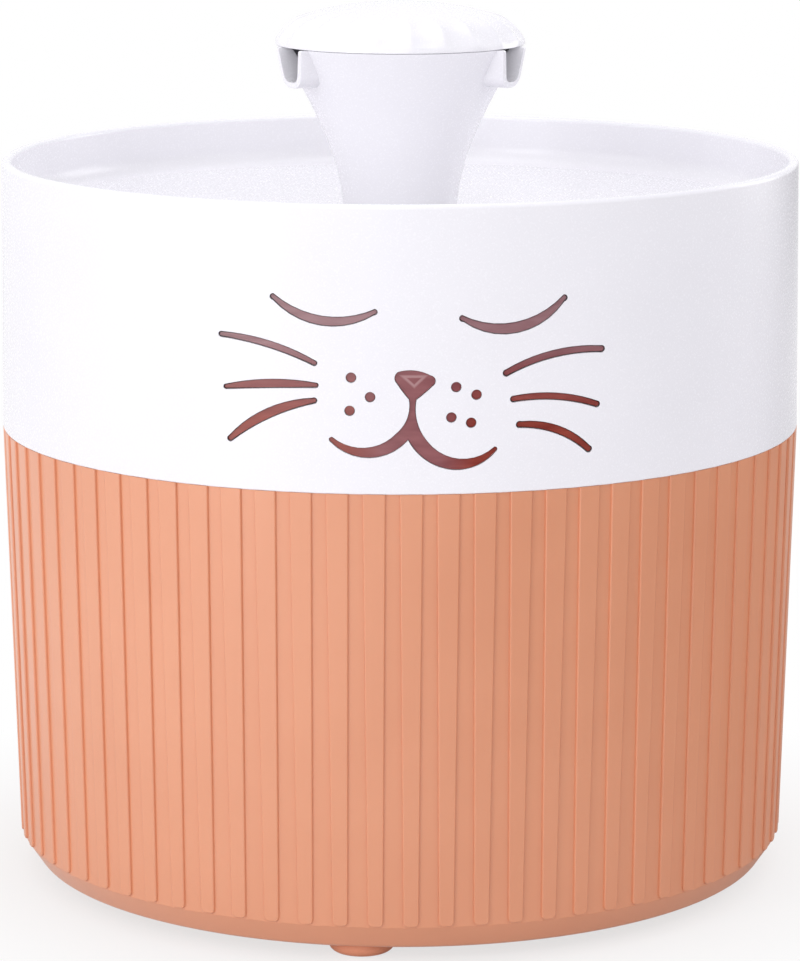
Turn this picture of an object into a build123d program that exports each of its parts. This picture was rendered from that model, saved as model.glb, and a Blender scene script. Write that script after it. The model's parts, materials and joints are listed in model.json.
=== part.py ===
from build123d import *
from math import pi, radians, tan
import os

# Pet water fountain: a ribbed tank, a drinking bowl with a face in its skirt and
# a tulip spout under a scalloped cap. Millimetres, +Z up. The origin is on the
# ground at the middle of the tank, and the face looks towards -Y.

os.makedirs("parts", exist_ok=True)

# ---- tank ----
joint_d = 180.0         # across the ribs, where the tank meets the bowl
tank_h = 99.5           # underside of the floor to the joint
tank_wall = 2.4
tank_floor = 2.6
draft = 1.5             # degrees, both faces of the wall
band_h = 5.5            # bevelled band around the foot of the wall
band_in = 3.7
band_edge_r = 1.0
inner_corner_r = 4.0
rib_count = 73
rib_relief = 0.55
rib_top_share = 0.62    # of the rib pitch, at the joint
rib_low_share = 0.44    # of the rib pitch, at the lower end
rib_end_gap = 0.3       # rib end above the band
rib_corner_share = 0.3  # of the rib's width, at its lower corners
ledge_count = 4
ledge_w = 9.0
ledge_reach = 11.0
ledge_drop = 12.0
ledge_below_bowl = 3.5

# ---- feet ----
foot_d = 14.4
foot_h = 3.0
foot_count = 4
foot_ring_r = 74.7
foot_turn = -7.8        # degrees from the face
foot_recess = 0.8
foot_edge_r = 2.0

# ---- power inlet ----
inlet_below_joint = 16.5
inlet_flange_d = 17.0
inlet_flange_t = 1.6
inlet_body_d = 11.0
inlet_bore_d = 5.6
inlet_bore_len = 9.0
inlet_rear_wall = 3.5
lead_in = 2.0               # lead held in the inlet's rear
inlet_pocket = 1.9
inlet_boss_wall = 1.2
gasket_t = 0.6
nut_t = 3.0
nut_flats = 14.0
pin_d = 2.0
pin_len = 8.0
sleeve_t = 0.35
sleeve_in = 1.0             # sleeve ends this far inside the mouth

# ---- bowl ----
bowl_h = 60.0           # joint to rim
bowl_wall = 2.2
bowl_draft_in = 0.7     # the rim stands in from the joint by this much
spigot_h = 4.0
spigot_wall = 2.0
spigot_step_h = 3.0
tray_depth = 11.5       # rim to tray at the wall
tray_fall = 3.0
tray_flat_r = 31.0
tray_t = 2.2
tray_corner_r = 4.0
hub_wall = 2.4
hub_len = 12.0
drain_count = 14
drain_r = 23.0
drain_len = 9.0
drain_w = 3.0

# ---- face, heights above the joint ----
face_window_half = 31.0    # degrees
face_window_low = 4.2
face_window_high = 44.5
face_window_t = 1.8
face_gap = 0.12            # boss to cut-out
face_sunk = 0.45           # boss face below the skirt's face

# ---- spout ----
spout_foot_d = 25.6
brim_d = 55.6
bell_h = 37.6
bell_bend_h = 15.0         # the bell's curve is pulled towards a point this far up
bell_bend_out = 0.4        # and this far outside the foot
brim_above_rim = 25.1
bell_wall = 1.9
basin_depth = 11.6
basin_floor_t = 1.8
pipe_wall = 1.7
pipe_lip = 2.0
lip_count = 3
lip_w = 11.4
lip_wall = 1.25
lip_depth = 10.2
lip_r = 28.9
lip_lean = 1.6
lip_round = 3.9

# ---- cap ----
cap_d = 56.0
cap_gap = 0.2
cap_rise = 9.3
cap_wall = 1.8
cap_dome_r = 22.8          # radius where the dome turns into the edge
cap_dome_drop = 3.4
cap_edge_h = 1.0
scoop_count = 22
scoop_turn = 3.4           # degrees from the face, first ridge between two scoops
scoop_r = 8.0
scoop_depth = 0.6
scoop_back = 1.5           # inner end of the scoop behind the shoulder
fin_t = 1.6
fin_len = 8.0

# ---- riser ----
riser_d = 10.0
riser_wall = 1.4
riser_in_pipe = 10.0
ring_section_d = 1.0
ring_below_top = 4.0

# ---- filter basket ----
basket_side_gap = 6.0
basket_h = 19.0
basket_wall = 1.6
sleeve_gap = 1.2
foam_t = 3.5
carbon_t = 3.5
resin_t = 3.0
cotton_t = 3.0
grate_t = 2.0
basket_slots = 18
basket_slot_w = 2.4
grate_collar_h = 4.4

# ---- pump ----
cup_h = 4.4
cup_d = 14.0
cup_stem_d = 4.0
cup_stem_len = 1.6
cup_edge_t = 0.6
pump_w = 42.0
pump_h = 30.0
pump_len = 38.5
pump_wall = 2.0
pump_corner_r = 3.0
volute_d = 24.0
volute_depth = 10.5
well_d = 12.4
well_wall = 1.5
well_len = 22.5
well_step = 1.5            # volute's rear wall is this much thicker than the shell
shaft_d = 2.3
bush_wall = 1.0
bush_len = 2.4
rear_bush_wall = 2.2
front_bush_in = 0.6        # front bush ends this far inside the cover's face
magnet_d = 11.2
magnet_len = 17.0
magnet_rear_gap = 3.0
rotor_sleeve_wall = 1.2
impeller_d = 21.0
blade_count = 6
blade_t = 1.2
blade_h = 7.0
blade_gap = 1.0            # blades to cover
impeller_hub_d = 9.0
outlet_offset = 8.0        # impeller axis to outlet axis
outlet_bore_d = 5.2
nozzle_len = 9.0
cover_t = 3.0
eye_d = 10.4
eye_rim = 0.8
strainer_w = 34.0
strainer_h = 27.0
strainer_len = 13.0
strainer_wall = 1.6
strainer_slots = 6         # on each side of the regulator
strainer_slot_len = 4.6
strainer_slot_w = 1.8
strainer_slot_pitch = 3.4
strainer_slot_in = 4.2     # slot middle inside the strainer's edge
sponge_gap = 0.3
sponge_end_gap = 1.6
regulator_d = 17.0
regulator_t = 1.8
regulator_hole_d = 4.0
regulator_hole_r = 5.1
thumb_rib_w = 3.0
thumb_rib_len = 4.1
thumb_rib_h = 1.2
barb_len = 1.0
barb_out = 0.7
core_w = 25.0
core_h = 23.0
core_len = 16.0
coil_t = 3.2
rear_cover_t = 2.0
screw_d = 2.4
screw_head_d = 4.6
screw_head_t = 1.4
screw_len = 8.0
screw_cross_w = 0.6
screw_cross_depth = 0.7
screw_post_wall = 1.4
screw_in = 0.4             # screw's edge inside the shell's wall
lead_d = 3.0
gland_d = 8.0
gland_len = 4.0
lead_gland_z = 17.0

# ---- clearances ----
fit = 0.05              # running and push fits, on the radius
slip = 0.15             # lift-out pieces, on the radius
spigot_gap = 0.35

# ---- levels and radii that follow ----
slope = tan(radians(draft))
joint_r = joint_d / 2
floor_z = foot_h + tank_floor
joint_z = foot_h + tank_h
rim_z = joint_z + bowl_h
band_top_z = foot_h + band_h
tank_r = joint_r - rib_relief
rim_r = joint_r - bowl_draft_in


def tank_out(z):
    """Outer radius of the tank's wall between the ribs."""
    return tank_r - (joint_z - z) * slope


def tank_in(z):
    return tank_out(z) - tank_wall


def skirt_out(z):
    """Outer radius of the bowl's skirt."""
    return joint_r - bowl_draft_in * (z - joint_z) / bowl_h


def save(block, name):
    block.part.label = name
    export_step(block.part, f"parts/{name}.step")


def ring(r_out, r_in, low, high):
    """A plain ring about the Z axis."""
    with BuildPart() as piece:
        with BuildSketch(Plane.XY.offset(low)):
            Circle(r_out)
            Circle(r_in, mode=Mode.SUBTRACT)
        extrude(amount=high - low)
    return piece


# ---- tank ----
tank_low_r = tank_out(band_top_z) - band_in
rib_low_z = band_top_z + rib_end_gap
ledge_z = joint_z - spigot_h - ledge_below_bowl
rib_top_w = 2 * pi * joint_r / rib_count * rib_top_share
rib_low_w = 2 * pi * (tank_out(rib_low_z) + rib_relief) / rib_count * rib_low_share

with BuildPart() as rib:
    with BuildSketch(Plane.XZ) as rib_face:
        with BuildLine():
            Polyline(
                (-rib_low_w / 2, rib_low_z),
                (rib_low_w / 2, rib_low_z),
                (rib_top_w / 2, joint_z),
                (-rib_top_w / 2, joint_z),
                close=True,
            )
        make_face()
        fillet(rib_face.vertices().group_by(Axis.Y)[0], rib_low_w * rib_corner_share)
    extrude(amount=joint_r + 1)
    with BuildSketch(Plane.XZ) as rib_depth:
        with BuildLine():
            Polyline(
                (tank_out(foot_h) - tank_wall / 2, foot_h),
                (tank_out(foot_h) + rib_relief, foot_h),
                (joint_r, joint_z),
                (tank_r - tank_wall / 2, joint_z),
                close=True,
            )
        make_face()
    revolve(rib_depth.sketch, axis=Axis.Z, mode=Mode.INTERSECT)

with BuildPart() as ledge:
    with BuildSketch(Plane.XZ):
        with BuildLine():
            Polyline(
                (tank_in(ledge_z) + tank_wall / 2, ledge_z),
                (tank_in(ledge_z) - ledge_reach, ledge_z),
                (tank_in(ledge_z) - ledge_reach, ledge_z - ledge_w / 4),
                (tank_in(ledge_z - ledge_drop) + tank_wall / 2, ledge_z - ledge_drop),
                close=True,
            )
        make_face()
    extrude(amount=ledge_w / 2, both=True)

inlet_z = joint_z - inlet_below_joint
pocket_y = tank_out(inlet_z) - inlet_pocket
boss_y = pocket_y - tank_wall - inlet_boss_wall / 2
inlet_plane = Plane((0, boss_y, inlet_z), x_dir=(-1, 0, 0), z_dir=(0, 1, 0))

with BuildPart() as tank:
    with BuildSketch(Plane.XZ) as tank_section:
        with BuildLine():
            Polyline(
                (0, foot_h),
                (tank_low_r, foot_h),
                (tank_out(band_top_z), band_top_z),
                (tank_r, joint_z),
                (tank_in(joint_z), joint_z),
                (tank_in(floor_z), floor_z),
                (0, floor_z),
                close=True,
            )
        make_face()
        corner = tank_section.vertices().sort_by_distance((tank_in(floor_z), floor_z))[0]
        fillet(corner, inner_corner_r)
        edge = tank_section.vertices().sort_by_distance((tank_low_r, foot_h))[0]
        fillet(edge, band_edge_r)
    revolve(axis=Axis.Z)
    with PolarLocations(0, rib_count):
        add(rib.part)
    with PolarLocations(0, ledge_count, start_angle=45):
        add(ledge.part)
    with BuildSketch(inlet_plane):
        Circle(inlet_flange_d / 2 + inlet_boss_wall)
    extrude(amount=pocket_y - boss_y)
    with BuildSketch(inlet_plane.offset(pocket_y - boss_y)):
        Circle(inlet_flange_d / 2 + slip)
    extrude(amount=joint_r, mode=Mode.SUBTRACT)
    with BuildSketch(inlet_plane):
        Circle(inlet_body_d / 2 + fit)
    extrude(amount=joint_r, mode=Mode.SUBTRACT)
    with BuildSketch(Plane.XY.offset(foot_h)):
        with PolarLocations(foot_ring_r, foot_count, start_angle=foot_turn - 90):
            Circle(foot_d / 2 + fit)
    extrude(amount=foot_recess, mode=Mode.SUBTRACT)
save(tank, "reservoir_tank")

# ---- feet ----
with BuildPart() as feet:
    with BuildSketch():
        with PolarLocations(foot_ring_r, foot_count, start_angle=foot_turn - 90):
            Circle(foot_d / 2)
    extrude(amount=foot_h + foot_recess)
    fillet(feet.edges().group_by(Axis.Z)[0], foot_edge_r)
save(feet, "tank_feet")

# ---- power inlet ----
flange_y = pocket_y + gasket_t
mouth_y = flange_y + inlet_flange_t
bore_end_y = mouth_y - inlet_bore_len
socket_rear_y = bore_end_y - inlet_rear_wall
with BuildPart() as gasket:
    with BuildSketch(inlet_plane.offset(pocket_y - boss_y)):
        Circle(inlet_flange_d / 2)
        Circle(inlet_body_d / 2 + fit, mode=Mode.SUBTRACT)
    extrude(amount=gasket_t)
save(gasket, "inlet_gasket")

with BuildPart() as socket:
    with BuildSketch(inlet_plane.offset(flange_y - boss_y)):
        Circle(inlet_flange_d / 2)
    extrude(amount=inlet_flange_t)
    fillet(socket.edges().group_by(Axis.Y)[-1], inlet_flange_t * 0.4)
    with BuildSketch(inlet_plane.offset(flange_y - boss_y)):
        Circle(inlet_body_d / 2)
    extrude(amount=socket_rear_y - flange_y)
    with BuildSketch(inlet_plane.offset(flange_y + inlet_flange_t - boss_y)):
        Circle(inlet_bore_d / 2 + sleeve_t + fit)
    extrude(amount=-inlet_bore_len, mode=Mode.SUBTRACT)
    with BuildSketch(inlet_plane.offset(socket_rear_y - boss_y)):
        Circle(lead_d / 2 + fit)
    extrude(amount=lead_in, mode=Mode.SUBTRACT)
save(socket, "inlet_socket")

with BuildPart() as sleeve:
    with BuildSketch(inlet_plane.offset(bore_end_y - boss_y)):
        Circle(inlet_bore_d / 2 + sleeve_t)
        Circle(inlet_bore_d / 2, mode=Mode.SUBTRACT)
    extrude(amount=inlet_bore_len - sleeve_in)
save(sleeve, "inlet_contact_sleeve")

with BuildPart() as pin:
    with BuildSketch(inlet_plane.offset(bore_end_y - boss_y)):
        Circle(pin_d / 2)
    extrude(amount=pin_len)
    fillet(pin.edges().group_by(Axis.Y)[-1], pin_d * 0.3)
save(pin, "inlet_contact_pin")

with BuildPart() as nut:
    with BuildSketch(inlet_plane):
        RegularPolygon(nut_flats / 2, 6, major_radius=False)
        Circle(inlet_body_d / 2 + fit, mode=Mode.SUBTRACT)
    extrude(amount=-nut_t)
save(nut, "inlet_nut")

# ---- bowl ----
tray_wall_z = rim_z - tray_depth
tray_low_z = tray_wall_z - tray_fall
spigot_r = tank_in(joint_z) - spigot_gap
spigot_low_z = joint_z - spigot_h
riser_r = riser_d / 2
pipe_r = riser_r + 2 * slip
pipe_out_r = pipe_r + pipe_wall
hub_r = pipe_out_r + slip

face_strokes = {
    # name: start, middle, end (across, above the joint), end width, middle width
    "eye_left": ((-28.3, 40.7), (-16.6, 35.9), (-7.6, 38.0), 1.1, 2.0),
    "eye_right": ((10.5, 36.6), (20.2, 34.2), (31.6, 40.0), 1.2, 2.3),
    "whisker_left_top": ((-39.0, 32.3), (-29.7, 30.9), (-19.9, 27.2), 1.0, 1.5),
    "whisker_left_middle": ((-38.1, 21.4), (-28.8, 22.6), (-19.6, 22.6), 0.9, 1.9),
    "whisker_left_low": ((-37.3, 10.6), (-29.3, 16.4), (-20.0, 19.4), 1.1, 2.1),
    "whisker_right_top": ((19.6, 25.0), (29.1, 28.4), (39.6, 28.8), 1.3, 1.6),
    "whisker_right_middle": ((21.1, 19.5), (29.8, 19.6), (38.7, 17.3), 1.2, 1.5),
    "whisker_right_low": ((22.4, 14.1), (29.8, 12.8), (37.0, 8.0), 1.3, 1.7),
}
face_dots = (
    (-12.4, 24.4), (-8.5, 20.4), (-12.7, 17.5),
    (9.2, 22.4), (13.4, 20.7), (8.2, 16.1), (12.3, 14.9),
)
dot_r = 1.1
# nose, stem and mouth in one outline: each arc goes through its first point to its second
muzzle_start = (-2.75, 25.7)
muzzle_arcs = (
    ((0.5, 26.0), (3.9, 24.95)),
    ((4.95, 24.0), (4.3, 22.6)),
    ((2.73, 21.16), (1.05, 19.85)),
    ((1.4, 14.6), (3.35, 11.15)),
    ((9.7, 7.5), (17.1, 9.75)),
    ((17.75, 9.4), (17.6, 8.85)),
    ((12.2, 5.4), (6.2, 5.6)),
    ((2.2, 7.8), (-0.7, 11.4)),
    ((-9.0, 7.65), (-16.7, 10.9)),
    ((-16.95, 11.6), (-16.3, 12.0)),
    ((-9.7, 9.85), (-3.1, 12.95)),
    ((-1.1, 15.6), (-0.55, 19.9)),
    ((-1.83, 21.5), (-3.0, 23.2)),
    ((-3.5, 24.5), (-2.75, 25.7)),
)
face_plane = Plane.XZ.offset(joint_r * 0.7)
face_prism_len = joint_r * 0.35


def stroke(start, middle, end, end_w, middle_w, inset):
    """One curved cut with rounded ends, drawn in by inset, on the face's plane."""
    lift = Vector(0, joint_z)
    start, middle, end = [Vector(*point) + lift for point in (start, middle, end)]
    along = (end - start).normalized()
    across = Vector(-along.Y, along.X)
    tip = end_w / 2 - inset
    half = middle_w / 2 - inset
    upper_start, upper_end = start + across * tip, end + across * tip
    lower_start, lower_end = start - across * tip, end - across * tip
    with BuildSketch(face_plane) as face:
        with BuildLine():
            ThreePointArc(upper_start, middle + across * half, upper_end)
            ThreePointArc(upper_end, end + along * tip, lower_end)
            ThreePointArc(lower_end, middle - across * half, lower_start)
            ThreePointArc(lower_start, start - along * tip, upper_start)
        make_face()
    return face.sketch


def muzzle(inset):
    """Nose, stem and mouth, drawn in by inset, on the face's plane."""
    with BuildSketch(face_plane) as face:
        with BuildLine():
            begin = muzzle_start
            for via, end in muzzle_arcs:
                ThreePointArc(*[(x, joint_z + z) for x, z in (begin, via, end)])
                begin = end
        make_face()
        if inset > 0:
            offset(amount=-inset, mode=Mode.REPLACE)
    return face.sketch


def face_prism(inset):
    """The whole face as one prism along Y, its outline drawn in by inset."""
    with BuildPart() as prism:
        for start, middle, end, end_w, middle_w in face_strokes.values():
            extrude(stroke(start, middle, end, end_w, middle_w, inset), amount=face_prism_len)
        with BuildSketch(face_plane) as dots:
            with Locations(*[(x, joint_z + z) for x, z in face_dots]):
                Circle(dot_r - inset)
        extrude(dots.sketch, amount=face_prism_len)
        extrude(muzzle(inset), amount=face_prism_len)
    return prism


face_cut = face_prism(0)
face_fill = face_prism(face_gap)

with BuildPart() as bowl:
    with BuildSketch(Plane.XZ) as bowl_section:
        with BuildLine():
            Polyline(
                (spigot_r, spigot_low_z),
                (spigot_r, joint_z),
                (joint_r, joint_z),
                (rim_r, rim_z),
                (rim_r - bowl_wall, rim_z),
                (skirt_out(tray_wall_z) - bowl_wall, tray_wall_z),
                (tray_flat_r, tray_low_z),
                (hub_r, tray_low_z),
                (hub_r, tray_low_z - hub_len),
                (hub_r + hub_wall, tray_low_z - hub_len),
                (hub_r + hub_wall, tray_low_z - tray_t),
                (tray_flat_r, tray_low_z - tray_t),
                (skirt_out(tray_wall_z) - bowl_wall, tray_wall_z - tray_t),
                (joint_r - bowl_wall, joint_z + spigot_step_h),
                (spigot_r - spigot_wall, joint_z + spigot_step_h / 2),
                (spigot_r - spigot_wall, spigot_low_z),
                close=True,
            )
        make_face()
        rim_corners = bowl_section.vertices().group_by(Axis.Y)[-1]
        fillet(rim_corners, bowl_wall * 0.47)
        tray_corner = (skirt_out(tray_wall_z) - bowl_wall, tray_wall_z)
        fillet(bowl_section.vertices().sort_by_distance(tray_corner)[0], tray_corner_r)
    revolve(axis=Axis.Z)
    with BuildSketch(Plane.XY.offset(tray_low_z)):
        with PolarLocations(drain_r, drain_count):
            SlotOverall(drain_len, drain_w)
    extrude(amount=-tray_t, mode=Mode.SUBTRACT)
    add(face_cut.part, mode=Mode.SUBTRACT)
save(bowl, "drinking_bowl")

# ---- face window ----
window_r = joint_r - bowl_wall - fit
with BuildPart() as bosses:
    add(face_fill.part)
    with BuildSketch(Plane.XZ) as boss_depth:
        with BuildLine():
            Polyline(
                (window_r - face_window_t / 2, joint_z),
                (joint_r - face_sunk, joint_z),
                (rim_r - face_sunk, rim_z),
                (window_r - bowl_draft_in - face_window_t / 2, rim_z),
                close=True,
            )
        make_face()
    revolve(boss_depth.sketch, axis=Axis.Z, mode=Mode.INTERSECT)

plate_low_z = joint_z + face_window_low
plate_high_z = joint_z + face_window_high
plate_low_r = skirt_out(plate_low_z) - bowl_wall - fit
plate_high_r = skirt_out(plate_high_z) - bowl_wall - fit
with BuildPart() as window:
    with BuildSketch(Plane.XZ.rotated((0, 0, -90 - face_window_half))):
        with BuildLine():
            Polyline(
                (plate_low_r, plate_low_z),
                (plate_high_r, plate_high_z),
                (plate_high_r - face_window_t, plate_high_z),
                (plate_low_r - face_window_t, plate_low_z),
                close=True,
            )
        make_face()
    revolve(axis=Axis.Z, revolution_arc=2 * face_window_half)
    add(bosses.part)
save(window, "face_window")

# ---- spout column ----
spout_foot_r = spout_foot_d / 2
brim_r = brim_d / 2
brim_z = rim_z + brim_above_rim
bell_z = brim_z - bell_h
basin_z = brim_z - basin_depth
pipe_top_z = basin_z + pipe_lip
pipe_low_z = tray_low_z - hub_len


def bell_share(z):
    """How far along the bell's curve the height z lies, from 0 to 1."""
    rise = bell_h - 2 * bell_bend_h
    return ((bell_bend_h**2 + rise * (z - bell_z)) ** 0.5 - bell_bend_h) / rise


def bell_point(first, second, wall):
    """Control point of the part of the bell's curve between two shares."""
    middle = first + second - 2 * first * second
    end = first * second
    radius = spout_foot_r + middle * bell_bend_out + end * (brim_r - spout_foot_r)
    return (radius - wall, bell_z + middle * bell_bend_h + end * bell_h)


def bell(z_low, z_high, wall):
    """Control points of the bell's curve between two heights, drawn in by wall."""
    low, high = bell_share(z_low), bell_share(z_high)
    return [bell_point(*shares, wall) for shares in ((low, low), (low, high), (high, high))]


with BuildPart() as lips:
    for turn in range(lip_count):
        lip_plane = Plane.XZ.rotated((0, 0, 180 + 360 / lip_count * turn))
        with BuildSketch(lip_plane) as lip_face:
            with Locations((0, brim_z - lip_depth / 2)):
                Rectangle(lip_w, lip_depth)
            fillet(lip_face.vertices().group_by(Axis.Z)[0], lip_round)
        extrude(amount=lip_r)
    with BuildSketch(Plane.XZ) as lip_reach:
        with BuildLine():
            Polyline(
                (spout_foot_r, brim_z),
                (lip_r, brim_z),
                (lip_r - lip_lean, brim_z - lip_depth),
                (spout_foot_r, brim_z - lip_depth),
                close=True,
            )
        make_face()
    revolve(lip_reach.sketch, axis=Axis.Z, mode=Mode.INTERSECT)

with BuildPart() as column:
    with BuildSketch(Plane.XZ):
        with BuildLine():
            Polyline((spout_foot_r, bell_z), (spout_foot_r, tray_low_z), (0, tray_low_z), (0, brim_z))
            Line((0, brim_z), bell(bell_z, brim_z, 0)[-1])
            Bezier(*bell(bell_z, brim_z, 0))
        make_face()
    revolve(axis=Axis.Z)
    add(lips.part)
    with BuildSketch(Plane.XZ) as basin:
        with BuildLine():
            Bezier(*bell(basin_z, brim_z, bell_wall))
            Line(bell(basin_z, brim_z, bell_wall)[-1], (0, brim_z))
            Polyline((0, brim_z), (0, basin_z), bell(basin_z, brim_z, bell_wall)[0])
        make_face()
    revolve(axis=Axis.Z, mode=Mode.SUBTRACT)
    under_z = basin_z - basin_floor_t
    with BuildSketch(Plane.XZ) as hollow:
        with BuildLine():
            Bezier(*bell(bell_z, under_z, bell_wall))
            Polyline(
                bell(bell_z, under_z, bell_wall)[-1],
                (pipe_out_r, under_z),
                (pipe_out_r, tray_low_z),
                (spout_foot_r - bell_wall, tray_low_z),
                bell(bell_z, under_z, bell_wall)[0],
            )
        make_face()
    revolve(axis=Axis.Z, mode=Mode.SUBTRACT)
    with BuildSketch(Plane.XY.offset(pipe_low_z)):
        Circle(pipe_out_r)
    extrude(amount=pipe_top_z - pipe_low_z)
    with BuildSketch(Plane.XY.offset(pipe_low_z)):
        Circle(pipe_r)
    extrude(amount=pipe_top_z - pipe_low_z, mode=Mode.SUBTRACT)
    for turn in range(lip_count):
        lip_plane = Plane.XZ.rotated((0, 0, 180 + 360 / lip_count * turn))
        with BuildSketch(lip_plane.offset(spout_foot_r)) as channel:
            with Locations((0, brim_z - (lip_depth - lip_wall) / 2)):
                Rectangle(lip_w - 2 * lip_wall, lip_depth - lip_wall)
            fillet(channel.vertices().group_by(Axis.Z)[0], lip_round - lip_wall)
        extrude(amount=lip_r, mode=Mode.SUBTRACT)
save(column, "spout_column")

# ---- cap ----
cap_r = cap_d / 2
cap_z = brim_z + cap_gap
cap_top_z = cap_z + cap_rise


def dome(wall):
    """Half section of the cap, a shallow dome with a turned-down edge, drawn in by wall."""
    edge_r = cap_r - wall
    edge_z = cap_z if wall else cap_z + cap_edge_h
    turn_r = cap_dome_r - wall / 2
    turn_z = cap_top_z - wall - cap_dome_drop
    dome_r = (turn_r**2 + cap_dome_drop**2) / (2 * cap_dome_drop)
    shoulder = (turn_r + (edge_r - turn_r) * 2 / 3, turn_z - (turn_z - edge_z) * 0.38)
    with BuildSketch(Plane.XZ) as section:
        with BuildLine():
            RadiusArc((0, cap_top_z - wall), (turn_r, turn_z), dome_r)
            ThreePointArc((turn_r, turn_z), shoulder, (edge_r, edge_z))
            if wall == 0:
                Line((edge_r, edge_z), (edge_r, cap_z))
            Polyline((edge_r, cap_z), (0, cap_z), (0, cap_top_z - wall))
        make_face()
    return section.sketch


fall = Vector(cap_r - cap_dome_r, 0, cap_edge_h + cap_dome_drop - cap_rise).normalized()
away = Vector(-fall.Z, 0, fall.X)
shoulder_r = cap_dome_r + (cap_r - cap_dome_r) * 2 / 3
shoulder_z = cap_z + (cap_rise - cap_dome_drop) * 0.62 + cap_edge_h * 0.38
scoop_axis = Plane(
    origin=Vector(shoulder_r, 0, shoulder_z) + away * (scoop_r - scoop_depth) - fall * scoop_back,
    x_dir=(0, 1, 0),
    z_dir=fall,
)
with BuildPart(scoop_axis) as scoop:
    Sphere(scoop_r)
    Cylinder(scoop_r, cap_r, align=(Align.CENTER, Align.CENTER, Align.MIN))

with BuildPart() as cap:
    revolve(dome(0), axis=Axis.Z)
    revolve(dome(cap_wall), axis=Axis.Z, mode=Mode.SUBTRACT)
    with PolarLocations(0, scoop_count, start_angle=scoop_turn + 180 / scoop_count - 90):
        add(scoop.part, mode=Mode.SUBTRACT)
    for turn in (0, 90):
        with BuildSketch(Plane.XZ.rotated((0, 0, turn))) as fin:
            with BuildLine():
                Polyline(
                    (-pipe_r + slip, pipe_top_z - fin_len),
                    (pipe_r - slip, pipe_top_z - fin_len),
                    (pipe_r - slip, pipe_top_z),
                    (pipe_out_r - slip, pipe_top_z),
                    (pipe_out_r - slip, cap_top_z - cap_wall),
                    (-pipe_out_r + slip, cap_top_z - cap_wall),
                    (-pipe_out_r + slip, pipe_top_z),
                    (-pipe_r + slip, pipe_top_z),
                    close=True,
                )
            make_face()
        extrude(amount=fin_t / 2, both=True)
save(cap, "spout_cap")

# ---- riser tube and its seal ----
pump_low_z = floor_z + cup_h
outlet_boss_z = pump_low_z + pump_h + pump_corner_r
riser_top_z = pipe_low_z + riser_in_pipe
riser_in_r = riser_r - riser_wall
seal_z = riser_top_z - ring_below_top
seal_in_r = pipe_r - fit - ring_section_d
with BuildPart() as riser:
    with BuildSketch(Plane.XY.offset(outlet_boss_z)):
        Circle(riser_r)
        Circle(riser_in_r, mode=Mode.SUBTRACT)
    extrude(amount=riser_top_z - outlet_boss_z)
    with BuildSketch(Plane.XY.offset(seal_z - ring_section_d / 2 - fit)):
        Circle(riser_r)
        Circle(seal_in_r - fit, mode=Mode.SUBTRACT)
    extrude(amount=ring_section_d + 2 * fit, mode=Mode.SUBTRACT)
save(riser, "riser_tube")

with BuildPart() as seal:
    with BuildSketch(Plane.XZ):
        with Locations((seal_in_r + ring_section_d / 2, seal_z)):
            Circle(ring_section_d / 2)
    revolve(axis=Axis.Z)
save(seal, "riser_seal_ring")

# ---- filter basket and what it holds ----
basket_z = ledge_z
basket_r = spigot_r - spigot_wall - basket_side_gap
basket_in_r = basket_r - basket_wall
sleeve_r = riser_r + sleeve_gap
sleeve_out_r = sleeve_r + basket_wall
with BuildPart() as basket:
    with BuildSketch(Plane.XY.offset(basket_z)):
        Circle(basket_r)
    extrude(amount=basket_h)
    with BuildSketch(Plane.XY.offset(basket_z + basket_wall)):
        Circle(basket_in_r)
    extrude(amount=basket_h, mode=Mode.SUBTRACT)
    with BuildSketch(Plane.XY.offset(basket_z)):
        Circle(sleeve_out_r)
    extrude(amount=basket_h - grate_t)
    with BuildSketch(Plane.XY.offset(basket_z)):
        Circle(sleeve_r)
        with PolarLocations((basket_in_r + sleeve_out_r) / 2, basket_slots):
            SlotOverall((basket_in_r - sleeve_out_r) * 0.8, basket_slot_w)
    extrude(amount=basket_h, mode=Mode.SUBTRACT)
save(basket, "filter_basket")

layer_z = basket_z + basket_wall
layer_r = basket_in_r - slip
hole_r = sleeve_out_r + slip
for name, thickness in (
    ("filter_foam_pad", foam_t),
    ("filter_carbon_bed", carbon_t),
    ("filter_resin_bed", resin_t),
    ("filter_cotton_pad", cotton_t),
):
    save(ring(layer_r, hole_r, layer_z, layer_z + thickness), name)
    layer_z += thickness

with BuildPart() as grate:
    with BuildSketch(Plane.XY.offset(layer_z)):
        Circle(layer_r)
        Circle(hole_r, mode=Mode.SUBTRACT)
        with PolarLocations(layer_r * 0.75, basket_slots * 2):
            SlotOverall(layer_r * 0.36, basket_slot_w, mode=Mode.SUBTRACT)
        with PolarLocations(layer_r * 0.37, basket_slots):
            SlotOverall(layer_r * 0.3, basket_slot_w, mode=Mode.SUBTRACT)
    extrude(amount=grate_t)
    with BuildSketch(Plane.XY.offset(layer_z)):
        Circle(hole_r + 2 * basket_wall)
        Circle(hole_r, mode=Mode.SUBTRACT)
    extrude(amount=grate_collar_h)
save(grate, "filter_grate")

# ---- pump: the impeller turns about a level axis, the outlet points up ----
pump_x = -outlet_offset
axis_z = pump_low_z + pump_h / 2
pump_top_z = pump_low_z + pump_h
front_y = -volute_depth / 2
rear_y = front_y + pump_len
well_y = volute_depth / 2
cavity_y = well_y + pump_wall + well_step
well_end_y = well_y + well_len
shaft_r = shaft_d / 2
bush_r = shaft_r + bush_wall
cover_y = front_y - cover_t


def across_y(y):
    """Plane at y, its X along +X and its normal towards -Y, on the impeller's axis."""
    return Plane((pump_x, y, axis_z), x_dir=(1, 0, 0), z_dir=(0, -1, 0))


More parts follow.
